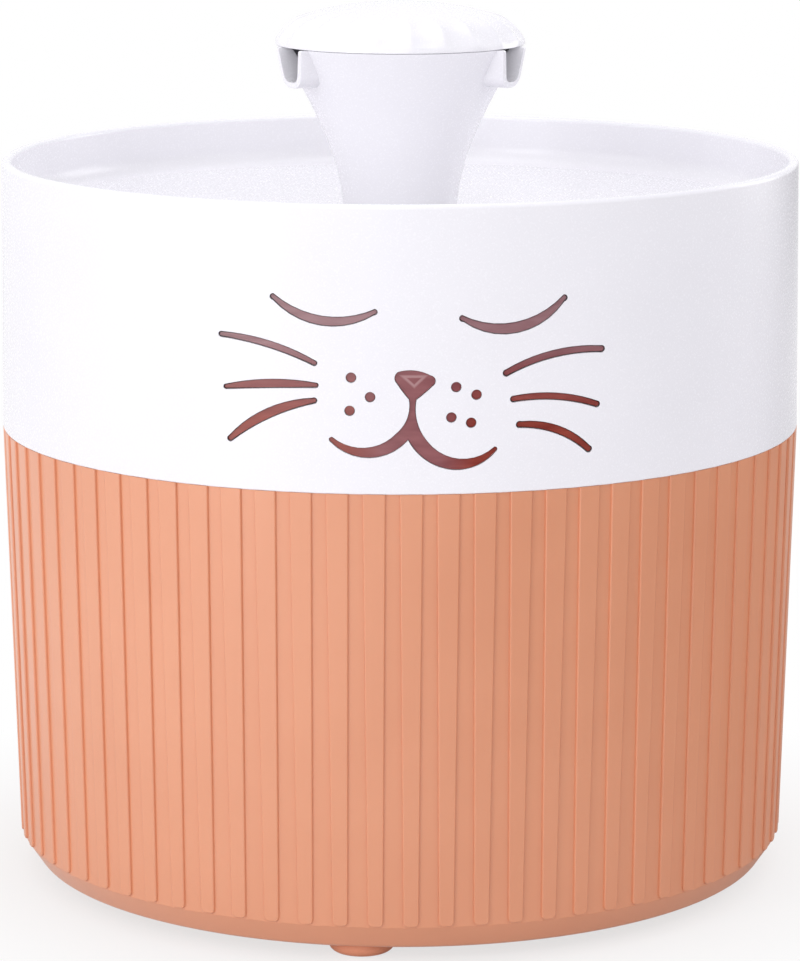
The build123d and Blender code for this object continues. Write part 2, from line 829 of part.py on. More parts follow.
def disc(radius, y_from, y_to, hole=0.0):
    """A round piece along the impeller's axis, with a through hole where hole is given."""
    with BuildPart() as piece:
        with BuildSketch(across_y(y_from)):
            Circle(radius)
            if hole:
                Circle(hole, mode=Mode.SUBTRACT)
        extrude(amount=y_from - y_to)
    return piece


screw_edge = pump_wall + screw_in + screw_d / 2
corners = [
    (x * (pump_w / 2 - screw_edge), z * (pump_h / 2 - screw_edge))
    for x in (-1, 1)
    for z in (-1, 1)
]
cup_spots = [
    (pump_x + x * (pump_w / 2 - cup_d / 2), (front_y + rear_y) / 2 + y * (pump_len / 2 - cup_d / 2))
    for x in (-1, 1)
    for y in (-1, 1)
]

with BuildPart() as housing:
    with BuildSketch(Plane((pump_x, (front_y + rear_y) / 2, pump_low_z))):
        Rectangle(pump_w, pump_len)
    extrude(amount=pump_h)
    fillet(housing.edges().filter_by(Axis.Y), pump_corner_r)
    with BuildSketch(Plane.XY.offset(pump_top_z - pump_wall)):
        Circle(riser_r)
    extrude(amount=outlet_boss_z - pump_top_z + pump_wall)
    with BuildSketch(Plane.XY.offset(pump_top_z)):
        Circle(riser_in_r - fit)
    extrude(amount=pump_corner_r + nozzle_len)
    with BuildSketch(across_y(rear_y)) as cavity:
        Rectangle(pump_w - 2 * pump_wall, pump_h - 2 * pump_wall)
        with Locations(*corners):
            Circle(screw_d / 2 + screw_post_wall, mode=Mode.SUBTRACT)
    extrude(amount=rear_y - cavity_y, mode=Mode.SUBTRACT)
    with BuildSketch(across_y(well_end_y + well_wall)):
        Circle(well_d / 2 + well_wall)
    extrude(amount=well_end_y + well_wall - well_y)
    with BuildSketch(across_y(well_end_y)):
        Circle(well_d / 2)
    extrude(amount=well_len + 1, mode=Mode.SUBTRACT)
    with BuildSketch(across_y(well_y)):
        Circle(volute_d / 2)
    extrude(amount=volute_depth, mode=Mode.SUBTRACT)
    with BuildSketch(Plane.XY.offset(axis_z)):
        Circle(outlet_bore_d / 2)
    extrude(amount=pump_h, mode=Mode.SUBTRACT)
    with BuildSketch(across_y(rear_y)):
        with Locations(*corners):
            Circle(screw_d / 2 + fit)
    extrude(amount=screw_len, mode=Mode.SUBTRACT)
    with BuildSketch(Plane.XY.offset(pump_low_z)):
        with Locations(*cup_spots):
            Circle(cup_stem_d / 2 + fit)
    extrude(amount=cup_stem_len, mode=Mode.SUBTRACT)
save(housing, "pump_housing")

with BuildPart() as cup:
    with BuildSketch(Plane.XZ):
        with BuildLine():
            Polyline(
                (0, cup_h + cup_stem_len),
                (cup_stem_d / 2, cup_h + cup_stem_len),
                (cup_stem_d / 2, cup_h),
                (cup_d * 0.3, cup_h),
                (cup_d / 2, cup_edge_t),
                (cup_d / 2, 0),
                (cup_d * 0.42, 0),
                (0, cup_h * 0.4),
                close=True,
            )
        make_face()
    revolve(axis=Axis.Z)
with BuildPart() as cups:
    with Locations(*[(x, y, floor_z) for x, y in cup_spots]):
        add(cup.part)
save(cups, "pump_suction_cups")

with BuildPart() as core:
    with BuildSketch(across_y(cavity_y + coil_t + core_len)):
        Rectangle(core_w, core_h)
        Circle(well_d / 2 + well_wall + fit, mode=Mode.SUBTRACT)
    extrude(amount=core_len)
save(core, "stator_core")

with BuildPart() as coil:
    for side in (-1, 1):
        with BuildSketch(across_y(cavity_y + 2 * coil_t + core_len)):
            with Locations((side * (core_w + coil_t) / 2 + side * fit, 0)):
                Rectangle(coil_t, core_h * 0.7)
        extrude(amount=core_len + 2 * coil_t)
        for level in (cavity_y + 2 * coil_t + core_len, cavity_y + coil_t - fit):
            with BuildSketch(across_y(level)):
                with Locations((side * (core_w / 2 - coil_t / 4), 0)):
                    Rectangle(coil_t * 2.4, core_h * 0.7)
            extrude(amount=coil_t - fit)
save(coil, "stator_coils")

with BuildPart() as potting:
    with BuildSketch(across_y(rear_y)):
        Rectangle(pump_w - 2 * pump_wall - 2 * slip, pump_h - 2 * pump_wall - 2 * slip)
        with Locations(*corners):
            Circle(screw_d / 2 + screw_post_wall + slip, mode=Mode.SUBTRACT)
        with Locations((outlet_offset, lead_gland_z - axis_z)):
            Circle(lead_d / 2 + fit, mode=Mode.SUBTRACT)
    extrude(amount=rear_y - cavity_y - 2 * coil_t - core_len - fit)
save(potting, "potting_plug")

with BuildPart() as rear_cover:
    with BuildSketch(across_y(rear_y + rear_cover_t)):
        RectangleRounded(pump_w, pump_h, pump_corner_r)
    extrude(amount=rear_cover_t)
    with BuildSketch(across_y(rear_y + rear_cover_t + gland_len)):
        with Locations((outlet_offset, lead_gland_z - axis_z)):
            Circle(gland_d / 2)
    extrude(amount=gland_len)
    with BuildSketch(across_y(rear_y + rear_cover_t + gland_len)):
        with Locations((outlet_offset, lead_gland_z - axis_z)):
            Circle(lead_d / 2 + fit)
    extrude(amount=rear_cover_t + gland_len, mode=Mode.SUBTRACT)
    with BuildSketch(across_y(rear_y + rear_cover_t)):
        with Locations(*corners):
            Circle(screw_d / 2 + fit)
    extrude(amount=rear_cover_t, mode=Mode.SUBTRACT)
save(rear_cover, "pump_rear_cover")

with BuildPart() as screws:
    with BuildSketch(across_y(rear_y + rear_cover_t)):
        with Locations(*corners):
            Circle(screw_d / 2)
    extrude(amount=screw_len)
    with BuildSketch(across_y(rear_y + rear_cover_t + screw_head_t)):
        with Locations(*corners):
            Circle(screw_head_d / 2)
    extrude(amount=screw_head_t)
    with BuildSketch(across_y(rear_y + rear_cover_t + screw_head_t)):
        with Locations(*corners):
            Rectangle(screw_head_d * 0.7, screw_cross_w)
            Rectangle(screw_cross_w, screw_head_d * 0.7)
    extrude(amount=screw_cross_depth, mode=Mode.SUBTRACT)
save(screws, "pump_cover_screws")

# ---- rotor ----
rear_bush_y = well_end_y - bush_len
front_bush_y = cover_y + front_bush_in
blade_y = front_y + blade_gap
magnet_y = well_end_y - magnet_rear_gap - magnet_len
rotor_sleeve_r = shaft_r + rotor_sleeve_wall
save(disc(shaft_r + rear_bush_wall, well_end_y - fit, rear_bush_y, shaft_r + fit), "rear_shaft_bush")
save(disc(bush_r, front_y, front_bush_y, shaft_r + fit), "front_shaft_bush")
save(disc(shaft_r, well_end_y - 2 * fit, front_bush_y + fit), "impeller_shaft")
save(disc(magnet_d / 2, magnet_y + magnet_len, magnet_y, rotor_sleeve_r + fit), "rotor_magnet")

with BuildPart() as impeller:
    with BuildSketch(across_y(magnet_y - fit)):
        Circle(impeller_hub_d / 2)
    extrude(amount=magnet_y - fit - blade_y)
    with BuildSketch(across_y(blade_y + blade_h)):
        with PolarLocations(impeller_d / 4, blade_count):
            Rectangle(impeller_d / 2, blade_t)
    extrude(amount=blade_h)
    with BuildSketch(across_y(magnet_y + magnet_len)):
        Circle(rotor_sleeve_r)
    extrude(amount=magnet_len + fit)
    with BuildSketch(across_y(magnet_y + magnet_len)):
        Circle(shaft_r + fit)
    extrude(amount=pump_len, mode=Mode.SUBTRACT)
save(impeller, "impeller")

# ---- front of the pump ----
with BuildPart() as cover:
    with BuildSketch(across_y(front_y)):
        RectangleRounded(pump_w - 2 * slip, pump_h - 2 * slip, pump_corner_r)
    extrude(amount=cover_t / 2)
    with BuildSketch(across_y(front_y)):
        Rectangle(strainer_w - 2 * strainer_wall - 2 * slip, strainer_h - 2 * strainer_wall - 2 * slip)
    extrude(amount=cover_t)
    with BuildSketch(across_y(front_y)):
        Circle(eye_d / 2)
        Circle(bush_r + eye_rim, mode=Mode.SUBTRACT)
        with PolarLocations(eye_d / 4, 3):
            Rectangle(eye_d / 2, blade_t, mode=Mode.SUBTRACT)
    extrude(amount=cover_t, mode=Mode.SUBTRACT)
    with BuildSketch(across_y(front_y)):
        Circle(bush_r + fit)
    extrude(amount=front_y - front_bush_y, mode=Mode.SUBTRACT)
save(cover, "volute_cover")

strainer_y = front_y - cover_t / 2
nose_y = strainer_y - strainer_len
with BuildPart() as strainer:
    with BuildSketch(across_y(strainer_y)):
        RectangleRounded(strainer_w, strainer_h, pump_corner_r)
    extrude(amount=strainer_len)
    with BuildSketch(across_y(strainer_y)):
        Rectangle(strainer_w - 2 * strainer_wall, strainer_h - 2 * strainer_wall)
    extrude(amount=strainer_len - strainer_wall, mode=Mode.SUBTRACT)
    with BuildSketch(across_y(nose_y + strainer_wall)):
        Circle(shaft_r + fit)
        for side in (-1, 1):
            with Locations((side * (strainer_w / 2 - strainer_slot_in), 0)):
                with GridLocations(0, strainer_slot_pitch, 1, strainer_slots):
                    SlotOverall(strainer_slot_len, strainer_slot_w)
        with PolarLocations(regulator_hole_r, 3):
            Circle(regulator_hole_d / 2)
    extrude(amount=strainer_wall, mode=Mode.SUBTRACT)
save(strainer, "intake_strainer")

with BuildPart() as regulator:
    with BuildSketch(across_y(nose_y - fit)):
        Circle(regulator_d / 2)
        with PolarLocations(regulator_hole_r, 3):
            Circle(regulator_hole_d / 2, mode=Mode.SUBTRACT)
    extrude(amount=regulator_t)
    with BuildSketch(across_y(nose_y - fit)):
        with Locations((0, regulator_d * 0.55)):
            RectangleRounded(thumb_rib_w, thumb_rib_len, thumb_rib_w * 0.3)
    extrude(amount=regulator_t + thumb_rib_h)
    with BuildSketch(across_y(nose_y + strainer_wall + fit)):
        Circle(shaft_r)
    extrude(amount=strainer_wall + 2 * fit)
    with BuildSketch(across_y(nose_y + strainer_wall + fit + barb_len)):
        Circle(shaft_r + barb_out)
    extrude(amount=barb_len)
save(regulator, "flow_regulator")

sponge_y = cover_y - sponge_gap
sponge_play = 2 * (strainer_wall + sponge_gap)
with BuildPart() as sponge:
    with BuildSketch(across_y(sponge_y)):
        Rectangle(strainer_w - sponge_play, strainer_h - sponge_play)
    extrude(amount=sponge_y - nose_y - strainer_wall - sponge_end_gap)
save(sponge, "prefilter_sponge")

# ---- lead from the inlet to the pump ----
lead_route = [
    (0, socket_rear_y + lead_in, inlet_z),
    (0, 66, inlet_z),
    (1, 56, 80),
    (4, 54, 64),
    (-3, 58, 44),
    (0, 58, 26),
    (0, 50, lead_gland_z),
    (0, rear_y + rear_cover_t, lead_gland_z),
]
runs = [Vector(*b) - Vector(*a) for a, b in zip(lead_route, lead_route[1:])]
bends = []
for before, after in zip(runs, runs[1:]):
    half_turn = radians(before.get_angle(after) / 2)
    bends.append(0.45 * min(before.length, after.length) / tan(half_turn))
print("lead bends", [round(bend, 1) for bend in bends])
with BuildPart() as lead:
    with BuildLine() as lead_line:
        FilletPolyline(*lead_route, radius=bends)
    with BuildSketch(Plane(lead_line.line @ 0, z_dir=lead_line.line % 0)):
        Circle(lead_d / 2)
    sweep()
lead_volume = pi * lead_d**2 / 4 * lead_line.wires()[0].length
print("lead volume against section times length", round(lead.part.volume / lead_volume, 4))
save(lead, "pump_lead")
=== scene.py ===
import json
from cmath import phase
from math import atan2, cos, hypot, pi, radians, sin, tan

import bmesh
import bpy
from mathutils import Matrix, Vector, noise


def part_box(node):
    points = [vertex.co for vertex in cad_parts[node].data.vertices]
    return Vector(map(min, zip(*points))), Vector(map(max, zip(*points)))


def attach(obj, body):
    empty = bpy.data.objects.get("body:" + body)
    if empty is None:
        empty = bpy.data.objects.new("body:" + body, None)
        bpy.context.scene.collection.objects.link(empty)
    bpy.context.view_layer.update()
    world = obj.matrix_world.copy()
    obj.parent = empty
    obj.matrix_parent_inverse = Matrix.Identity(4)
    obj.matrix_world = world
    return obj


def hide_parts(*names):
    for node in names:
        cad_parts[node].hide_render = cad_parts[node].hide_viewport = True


# Pet water fountain: a coral tank with tapering ribs, a white bowl with a sleeping
# cat's face in its skirt, and a tulip spout under a scalloped cap. The pump, filter,
# inlet and lead inside are the solids of the part, with materials from here.
# Metres, +Z up, the face looks towards -Y.

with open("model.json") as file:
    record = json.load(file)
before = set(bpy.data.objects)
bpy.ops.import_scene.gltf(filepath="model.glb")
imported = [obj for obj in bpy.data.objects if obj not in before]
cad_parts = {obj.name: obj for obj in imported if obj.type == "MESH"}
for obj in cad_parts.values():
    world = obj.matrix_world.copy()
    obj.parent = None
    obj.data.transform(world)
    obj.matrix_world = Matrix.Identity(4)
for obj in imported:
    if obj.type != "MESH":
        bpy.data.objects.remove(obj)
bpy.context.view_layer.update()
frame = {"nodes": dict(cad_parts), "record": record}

MM = 0.001

# ---- sizes read from the frame ----
tank_low, tank_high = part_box("reservoir_tank")
bowl_low, bowl_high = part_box("drinking_bowl")
spout_low, spout_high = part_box("spout_column")
cap_low, cap_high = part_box("spout_cap")
joint_r = bowl_high.x
joint_z = tank_high.z       # where the bowl's skirt meets the tank
tank_z = tank_low.z
rim_z = bowl_high.z
spigot_low_z = bowl_low.z
brim_z = spout_high.z
pipe_low_z = spout_low.z    # lower end of the spout's pipe and of the bowl's hub
cap_top_z = cap_high.z
cap_r = cap_high.x

# ---- tank ----
tank_wall = 2.4 * MM
tank_floor = 2.6 * MM
draft = tan(radians(1.5))
band_h = 5.5 * MM
band_in = 3.7 * MM
band_round = 1.0 * MM
floor_round = 4.0 * MM
rib_count = 73
rib_relief = 0.55 * MM
rib_top_share = 0.62        # of the rib pitch, at the joint
rib_low_share = 0.44        # of the rib pitch, at the lower end
rib_end_gap = 0.3 * MM
rib_edge = 0.32 * MM        # rounding along a rib's edges
rib_corner_share = 0.3      # of a rib's width, at its lower corners
rib_rows = 3                # rows of faces along a rib
ledge_count = 4             # the filter basket rests on these
ledge_turn = 45             # degrees from the sides
ledge_w = 9.0 * MM
ledge_reach = 11.0 * MM
ledge_drop = 12.0 * MM
ledge_edge = 0.5 * MM
ledge_z = joint_z - 7.5 * MM

tank_r = joint_r - rib_relief
band_top = tank_z + band_h
floor_z = tank_z + tank_floor

# ---- inlet in the rear wall ----
inlet_z = joint_z - 16.5 * MM
inlet_boss_r = 9.7 * MM
inlet_pocket_r = 8.65 * MM
inlet_body_r = 5.55 * MM
inlet_pocket = 1.9 * MM
inlet_boss_depth = 3.0 * MM

# ---- feet ----
foot_count = 4
foot_r = 7.25 * MM
foot_recess = 0.8 * MM
foot_ring_r = 74.7 * MM
foot_turn = -7.8            # degrees from the face

# ---- bowl ----
bowl_wall = 2.2 * MM
bowl_draft_in = 0.7 * MM
spigot_gap = 0.35 * MM
spigot_wall = 2.0 * MM
spigot_step = 3.0 * MM
hidden_edge = 0.3 * MM      # rounding of edges inside the bowl, the spout and the cap
tray_depth = 11.5 * MM
tray_fall = 3.0 * MM
tray_flat_r = 31.0 * MM
tray_t = 2.2 * MM
tray_corner = 4.0 * MM
hub_r = 7.15 * MM
hub_wall = 2.4 * MM
drain_count = 14
drain_r = 23.0 * MM
drain_len = 9.0 * MM
drain_w = 3.0 * MM
drain_end_share = 0.98      # of half the width: an end not quite a half circle
rim_round = 1.0 * MM
joint_round = 0.35 * MM
cut_edge = 0.2 * MM         # rounding along the face's cuts
face_reach = 0.7            # of the joint's radius: the face lies further out than this
face_cut = 0.35             # of the joint's radius: how far its cutters reach
face_low = 3.0 * MM         # above the joint, and below the lowest cut
on_skin = 0.05 * MM         # a point this close to a surface lies on it

tray_wall_z = rim_z - tray_depth
tray_low_z = tray_wall_z - tray_fall

# ---- face, in millimetres across and above the joint ----
face_strokes = {
    # name: start, middle, end, end width, middle width
    "eye_left": ((-28.3, 40.7), (-16.6, 35.9), (-7.6, 38.0), 1.1, 2.0),
    "eye_right": ((10.5, 36.6), (20.2, 34.2), (31.6, 40.0), 1.2, 2.3),
    "whisker_left_top": ((-39.0, 32.3), (-29.7, 30.9), (-19.9, 27.2), 1.0, 1.5),
    "whisker_left_middle": ((-38.1, 21.4), (-28.8, 22.6), (-19.6, 22.6), 0.9, 1.9),
    "whisker_left_low": ((-37.3, 10.6), (-29.3, 16.4), (-20.0, 19.4), 1.1, 2.1),
    "whisker_right_top": ((19.6, 25.0), (29.1, 28.4), (39.6, 28.8), 1.3, 1.6),
    "whisker_right_middle": ((21.1, 19.5), (29.8, 19.6), (38.7, 17.3), 1.2, 1.5),
    "whisker_right_low": ((22.4, 14.1), (29.8, 12.8), (37.0, 8.0), 1.3, 1.7),
}
face_dots = (
    (-12.4, 24.4), (-8.5, 20.4), (-12.7, 17.5),
    (9.2, 22.4), (13.4, 20.7), (8.2, 16.1), (12.3, 14.9),
)
dot_r = 1.1
flare_end = 0.3             # a stroke is this much wider at its ends than its width says
flare_middle = 0.1
arc_steps = 10
# nose, stem and mouth in one outline: each arc goes through the first point to the second
muzzle_start = (-2.75, 25.7)
muzzle_arcs = (
    ((0.5, 26.0), (3.9, 24.95)),
    ((4.95, 24.0), (4.3, 22.6)),
    ((2.73, 21.16), (1.05, 19.85)),
    ((1.4, 14.6), (3.35, 11.15)),
    ((9.7, 7.5), (17.1, 9.75)),
    ((17.75, 9.4), (17.6, 8.85)),
    ((12.2, 5.4), (6.2, 5.6)),
    ((2.2, 7.8), (-0.7, 11.4)),
    ((-9.0, 7.65), (-16.7, 10.9)),
    ((-16.95, 11.6), (-16.3, 12.0)),
    ((-9.7, 9.85), (-3.1, 12.95)),
    ((-1.1, 15.6), (-0.55, 19.9)),
    ((-1.83, 21.5), (-3.0, 23.2)),
    ((-3.5, 24.5), (-2.75, 25.7)),
)
# the nose's raised facet: direction of each edge's normal in degrees, and its reach in mm
nose_edges = ((90, 24.97), (228.3, -16.94), (-46.7, -15.73))
# the window's colour, painted shade of the hollow seen through it, in millimetres above the joint
# and to either side of the nose
mauve_above, rose_below = 33, 25
brown_starts_at, brown_full_at = 29, 15
brown_inner, brown_outer = 6, 13
facet_from, facet_full = -0.1, 0.25     # the painted highlight of a lit bevel starts at the nose's edge and is gone this far inside it
facet_fades, facet_ends = 0.5, 0.7      # and is gone this far inside it

# ---- spout ----
spout_foot_r = 12.8 * MM
brim_r = 27.8 * MM
bell_h = 37.6 * MM
bell_bend_h = 15.0 * MM     # the bell's curve is pulled towards a point this far up
bell_bend_out = 0.4 * MM    # and this far outside the foot
bell_wall = 1.9 * MM
brim_edge = 0.25 * MM
brim_inner_share = 0.42     # of the wall, rounding of the brim's inner edge
basin_depth = 11.6 * MM
basin_floor = 1.8 * MM
basin_corner = 1.0 * MM
pipe_r = 5.3 * MM
pipe_wall = 1.7 * MM
pipe_lip = 2.0 * MM
pipe_root = 0.5 * MM
pipe_edge = 0.4 * MM
bell_steps = 14
lip_count = 3
lip_w = 11.4 * MM           # at the brim
lip_low_w = 7.6 * MM        # at the lip's lower end
lip_wall = 1.25 * MM
lip_depth = 8.6 * MM
lip_r = 28.9 * MM
lip_lean = 0.9 * MM
lip_round = 2.8 * MM
lip_edge = 0.35 * MM
lip_sink = 0.03 * MM        # lip's top below the brim

bell_z = brim_z - bell_h
basin_z = brim_z - basin_depth

# ---- cap ----
cap_z = brim_z + 0.1 * MM   # a hair above the spout's brim
cap_wall = 1.8 * MM
cap_dome_r = 22.8 * MM
cap_dome_drop = 3.4 * MM
brow_bend = 0.35            # the brow bulges by this share over a straight slope
brow_fall = 1.25            # and falls faster towards the edge, as this power
dome_steps = 10
brow_steps = 12
cap_edge_h = 1.0 * MM
scoop_count = 22
scoop_turn = 3.4            # degrees from the face, first ridge between two scoops
scoop_depth = 0.62 * MM
scoop_inner_r = 19.8 * MM
scoop_full_r = 23.6 * MM
scoop_end_h = 2.2 * MM      # the scoops run out over this height above the edge
scoop_steps = 16            # columns of faces in one scoop
cap_skin = 0.5 * MM         # everything this close to the cap's radius is its outside
cap_foot = 0.2 * MM         # and nothing this low is, nearer the axis
cap_edge = 0.12 * MM
fin_t = 1.6 * MM
fin_len = 8.0 * MM
fin_play = 0.15 * MM
fin_sink_share = 0.8        # of the cap's wall: how deep below its top the fins end

# ---- soft filter layers ----
filter_hole_r = 7.95 * MM
pad_rings = 12
pad_corner = 0.6 * MM
pad_swell = 9 * MM          # size of the broad unevenness of a cut face
pad_tuft = 2.5 * MM         # size of its fine unevenness
sponge_corner = 1.4 * MM
sponge_dent = 0.25 * MM
sponge_dent_size = 4 * MM

smooth_limit = radians(38)  # sharper edges than this stay crisp
weld = 0.001 * MM           # vertices closer than this are one


# ---------------------------------------------------------------- mesh helpers


def outline(points, closed=False, segments=5):
    """A wire in the XZ plane through (x, z) points, rounded where a third number is given."""
    bm = bmesh.new()
    verts = [bm.verts.new((x, 0, z)) for x, z, *_ in points]
    for pair in zip(verts, verts[1:] + verts[:1] if closed else verts[1:]):
        bm.edges.new(pair)
    for vert, (_, _, *corner) in zip(verts, points):
        if corner:
            bmesh.ops.bevel(
                bm, geom=[vert], offset=corner[0], offset_type="OFFSET", segments=segments,
                profile=0.5, affect="VERTICES", material=-1,
            )
    return bm


def tidy(bm):
    """Merges doubles and turns every face outwards."""
    bmesh.ops.remove_doubles(bm, verts=bm.verts, dist=weld)
    bmesh.ops.recalc_face_normals(bm, faces=bm.faces)
    return bm


def turned(points, closed=False, steps=192, segments=5):
    """A solid of revolution about the Z axis."""
    bm = outline(points, closed, segments)
    bmesh.ops.spin(
        bm, geom=bm.verts[:] + bm.edges[:], cent=(0, 0, 0), axis=(0, 0, 1), dvec=(0, 0, 0),
        angle=2 * pi, steps=steps, use_merge=True,
    )
    return tidy(bm)


def prism(bm, depth):
    """Fills a closed wire in the XZ plane and pushes it along -Y."""
    bmesh.ops.contextual_create(bm, geom=bm.edges)
    made = bmesh.ops.extrude_face_region(bm, geom=bm.faces[:], use_keep_orig=True)
    moved = [item for item in made["geom"] if isinstance(item, bmesh.types.BMVert)]
    bmesh.ops.translate(bm, verts=moved, vec=(0, -depth, 0))
    return tidy(bm)


def disc(radius, depth):
    """A short cylinder that stands on the XY plane."""
    bm = bmesh.new()
    bmesh.ops.create_cone(
        bm, cap_ends=True, segments=48, radius1=radius, radius2=radius, depth=depth,
        matrix=Matrix.Translation((0, 0, depth / 2)),
    )
    return bm


def put(bm, move=(0, 0, 0), turn=0.0, tilt=0.0):
    """Tilts about X, moves, and then turns about Z, in degrees."""
    tilting = Matrix.Rotation(radians(tilt), 3, "X")
    turning = Matrix.Rotation(radians(turn), 3, "Z")
    bmesh.ops.rotate(bm, verts=bm.verts, cent=(0, 0, 0), matrix=tilting)
    bmesh.ops.translate(bm, verts=bm.verts, vec=move)
    bmesh.ops.rotate(bm, verts=bm.verts, cent=(0, 0, 0), matrix=turning)
    return bm


def merged(*parts):
    """Several meshes as one, each still a closed shell of its own."""
    whole = bmesh.new()
    for part in parts:
        mesh = bpy.data.meshes.new("part")
        part.to_mesh(mesh)
        part.free()
        whole.from_mesh(mesh)
        bpy.data.meshes.remove(mesh)
    return whole


def carve(bm, cutter, operation="DIFFERENCE"):
    """The Boolean of two closed meshes."""
    objects = []
    for part in (bm, cutter):
        mesh = bpy.data.meshes.new("carving")
        part.to_mesh(mesh)
        part.free()
        objects.append(bpy.data.objects.new("carving", mesh))
        bpy.context.scene.collection.objects.link(objects[-1])
    modifier = objects[0].modifiers.new("carving", "BOOLEAN")
    modifier.object = objects[1]
    modifier.operation = operation
    modifier.solver = "EXACT"
    result = bmesh.new()
    result.from_object(objects[0], bpy.context.evaluated_depsgraph_get())
    for leftover in objects:
        bpy.data.meshes.remove(leftover.data)
    return result


def rounded(bm, edges, width, segments):
    """Rounds edges by a width."""
    bmesh.ops.bevel(
        bm, geom=edges, offset=width, offset_type="OFFSET", segments=segments, profile=0.5,
        affect="EDGES", material=-1, clamp_overlap=True,
    )
    return bm


def soften(bm, width, chosen):
    """Rounds the sharp edges that chosen picks."""
    edges = [
        edge for edge in bm.edges
        if edge.is_manifold and edge.calc_face_angle() > smooth_limit and chosen(edge)
    ]
    return rounded(bm, edges, width, 2)


def piece(name, bm, body, slot, materials, node):
    """A finished mesh that rides on a body and stands for a CAD node."""
    for face in bm.faces:
        face.smooth = True
    for edge in bm.edges:
        edge.smooth = not edge.is_manifold or edge.calc_face_angle() < smooth_limit
    mesh = bpy.data.meshes.new(name)
    bm.to_mesh(mesh)
    bm.free()
    mesh.materials.append(materials[slot])
    made = bpy.data.objects.new(name, mesh)
    bpy.context.scene.collection.objects.link(made)
    made.modifiers.new("even normals", "WEIGHTED_NORMAL").keep_sharp = True
    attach(made, body)
    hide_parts(node)
    return made


# ---------------------------------------------------------------- material helpers


def colour(code):
    """Linear colour from an sRGB hex code."""
    parts = [int(code[i:i + 2], 16) / 255 for i in (1, 3, 5)]
    linear = [c / 12.92 if c <= 0.04045 else ((c + 0.055) / 1.055) ** 2.4 for c in parts]
    return (*linear, 1.0)


def add(tree, kind, inputs=None, **settings):
    """Adds a node with its settings, and links or sets its inputs."""
    made = tree.nodes.new("ShaderNode" + kind)
    for name, value in settings.items():
        setattr(made, name, value)
    for name, value in (inputs or {}).items():
        if isinstance(value, bpy.types.NodeSocket):
            tree.links.new(value, made.inputs[name])
        else:
            made.inputs[name].default_value = value
    return made


def start(name):
    """An empty material, its node tree and its Object coordinates."""
    material = bpy.data.materials.new(name)
    material.use_nodes = True
    tree = material.node_tree
    tree.nodes.clear()
    return material, tree, add(tree, "TexCoord").outputs["Object"]


def close(tree, shader):
    """Ends a material."""
    add(tree, "OutputMaterial", {"Surface": shader})


def principled(tree, **inputs):
    """Ends a material with one shader; an underscore in a name stands for a space."""
    inputs = {name.replace("_", " "): value for name, value in inputs.items()}
    close(tree, add(tree, "BsdfPrincipled", inputs).outputs["BSDF"])


def squeezed(tree, place, *scale):
    """Object coordinates on which a pattern is squeezed by these scales."""
    return add(tree, "Mapping", {"Vector": place, "Scale": scale}).outputs["Vector"]


def combined(tree, operation, first, second):
    """One step of arithmetic between two values."""
    return add(tree, "Math", {0: first, 1: second}, operation=operation).outputs["Value"]


def noise_at(tree, place, size, detail=2.0):
    """Noise whose blobs are about size across, in metres."""
    return add(
        tree, "TexNoise", {"Vector": place, "Scale": 1 / size, "Detail": detail, "Roughness": 0.5},
    ).outputs["Fac"]


def between(tree, value, low, high, from_low=0.3, from_high=0.7):
    """Spreads a value over a range; by default the middle of a 0 to 1 pattern."""
    return add(tree, "MapRange", {
        "Value": value, "From Min": from_low, "From Max": from_high, "To Min": low, "To Max": high,
    }).outputs["Result"]


def mixed(tree, share, first, second):
    """Two colours, each a hex code or a node's output, by a share from 0 to 1."""
    ends = [colour(end) if isinstance(end, str) else end for end in (first, second)]
    return add(tree, "Mix", {"Factor": share, 6: ends[0], 7: ends[1]}, data_type="RGBA").outputs[2]


def bumped(tree, height, depth):
    """A normal from a height pattern whose full swing is depth, in metres."""
    return add(tree, "Bump", {"Height": height, "Distance": depth}).outputs["Normal"]


def moulded(name, first, second, roughness, grain, depth, **extra):
    """A moulded polymer: faintly cloudy in colour, with the mould's own fine grain."""
    material, tree, place = start(name)
    cloud = noise_at(tree, place, 28 * MM)
    skin = noise_at(tree, place, grain, detail=3.0)
    principled(
        tree,
        Base_Color=mixed(tree, between(tree, cloud, 0, 1), first, second),
        Roughness=between(tree, skin, roughness - 0.03, roughness + 0.03),
        Normal=bumped(tree, skin, depth),
        **extra,
    )
    return material


def turned_metal(name, first, second, roughness, groove):
    """A bare metal with fine tool marks around Z."""
    material, tree, place = start(name)
    marks = noise_at(tree, squeezed(tree, place, 1, 1, 12), groove)
    principled(
        tree,
        Base_Color=mixed(tree, between(tree, marks, 0, 1), first, second),
        Metallic=1.0,
        Roughness=between(tree, marks, roughness - 0.06, roughness + 0.06),
        Normal=bumped(tree, marks, 0.004 * MM),
    )
    return material


def grains(name, first, second, size, roughness, depth, randomness=1.0, **extra):
    """A bed of small grains: rounded cells, each with its own shade."""
    material, tree, place = start(name)
    cells = add(tree, "TexVoronoi", {"Vector": place, "Scale": 1 / size, "Randomness": randomness})
    dome = between(tree, cells.outputs["Distance"], 1, 0, 0, 0.8)
    shade = add(tree, "SeparateColor", {"Color": cells.outputs["Color"]}).outputs["Red"]
    principled(
        tree,
        Base_Color=mixed(tree, shade, first, second),
        Roughness=roughness,
        Normal=bumped(tree, dome, depth),
        **extra,
    )
    return material


# ---------------------------------------------------------------- materials


def shining_in(weight, radius, scale):
    """Light that enters the plastic and comes out nearby."""
    return {"Subsurface_Weight": weight, "Subsurface_Radius": radius, "Subsurface_Scale": scale}


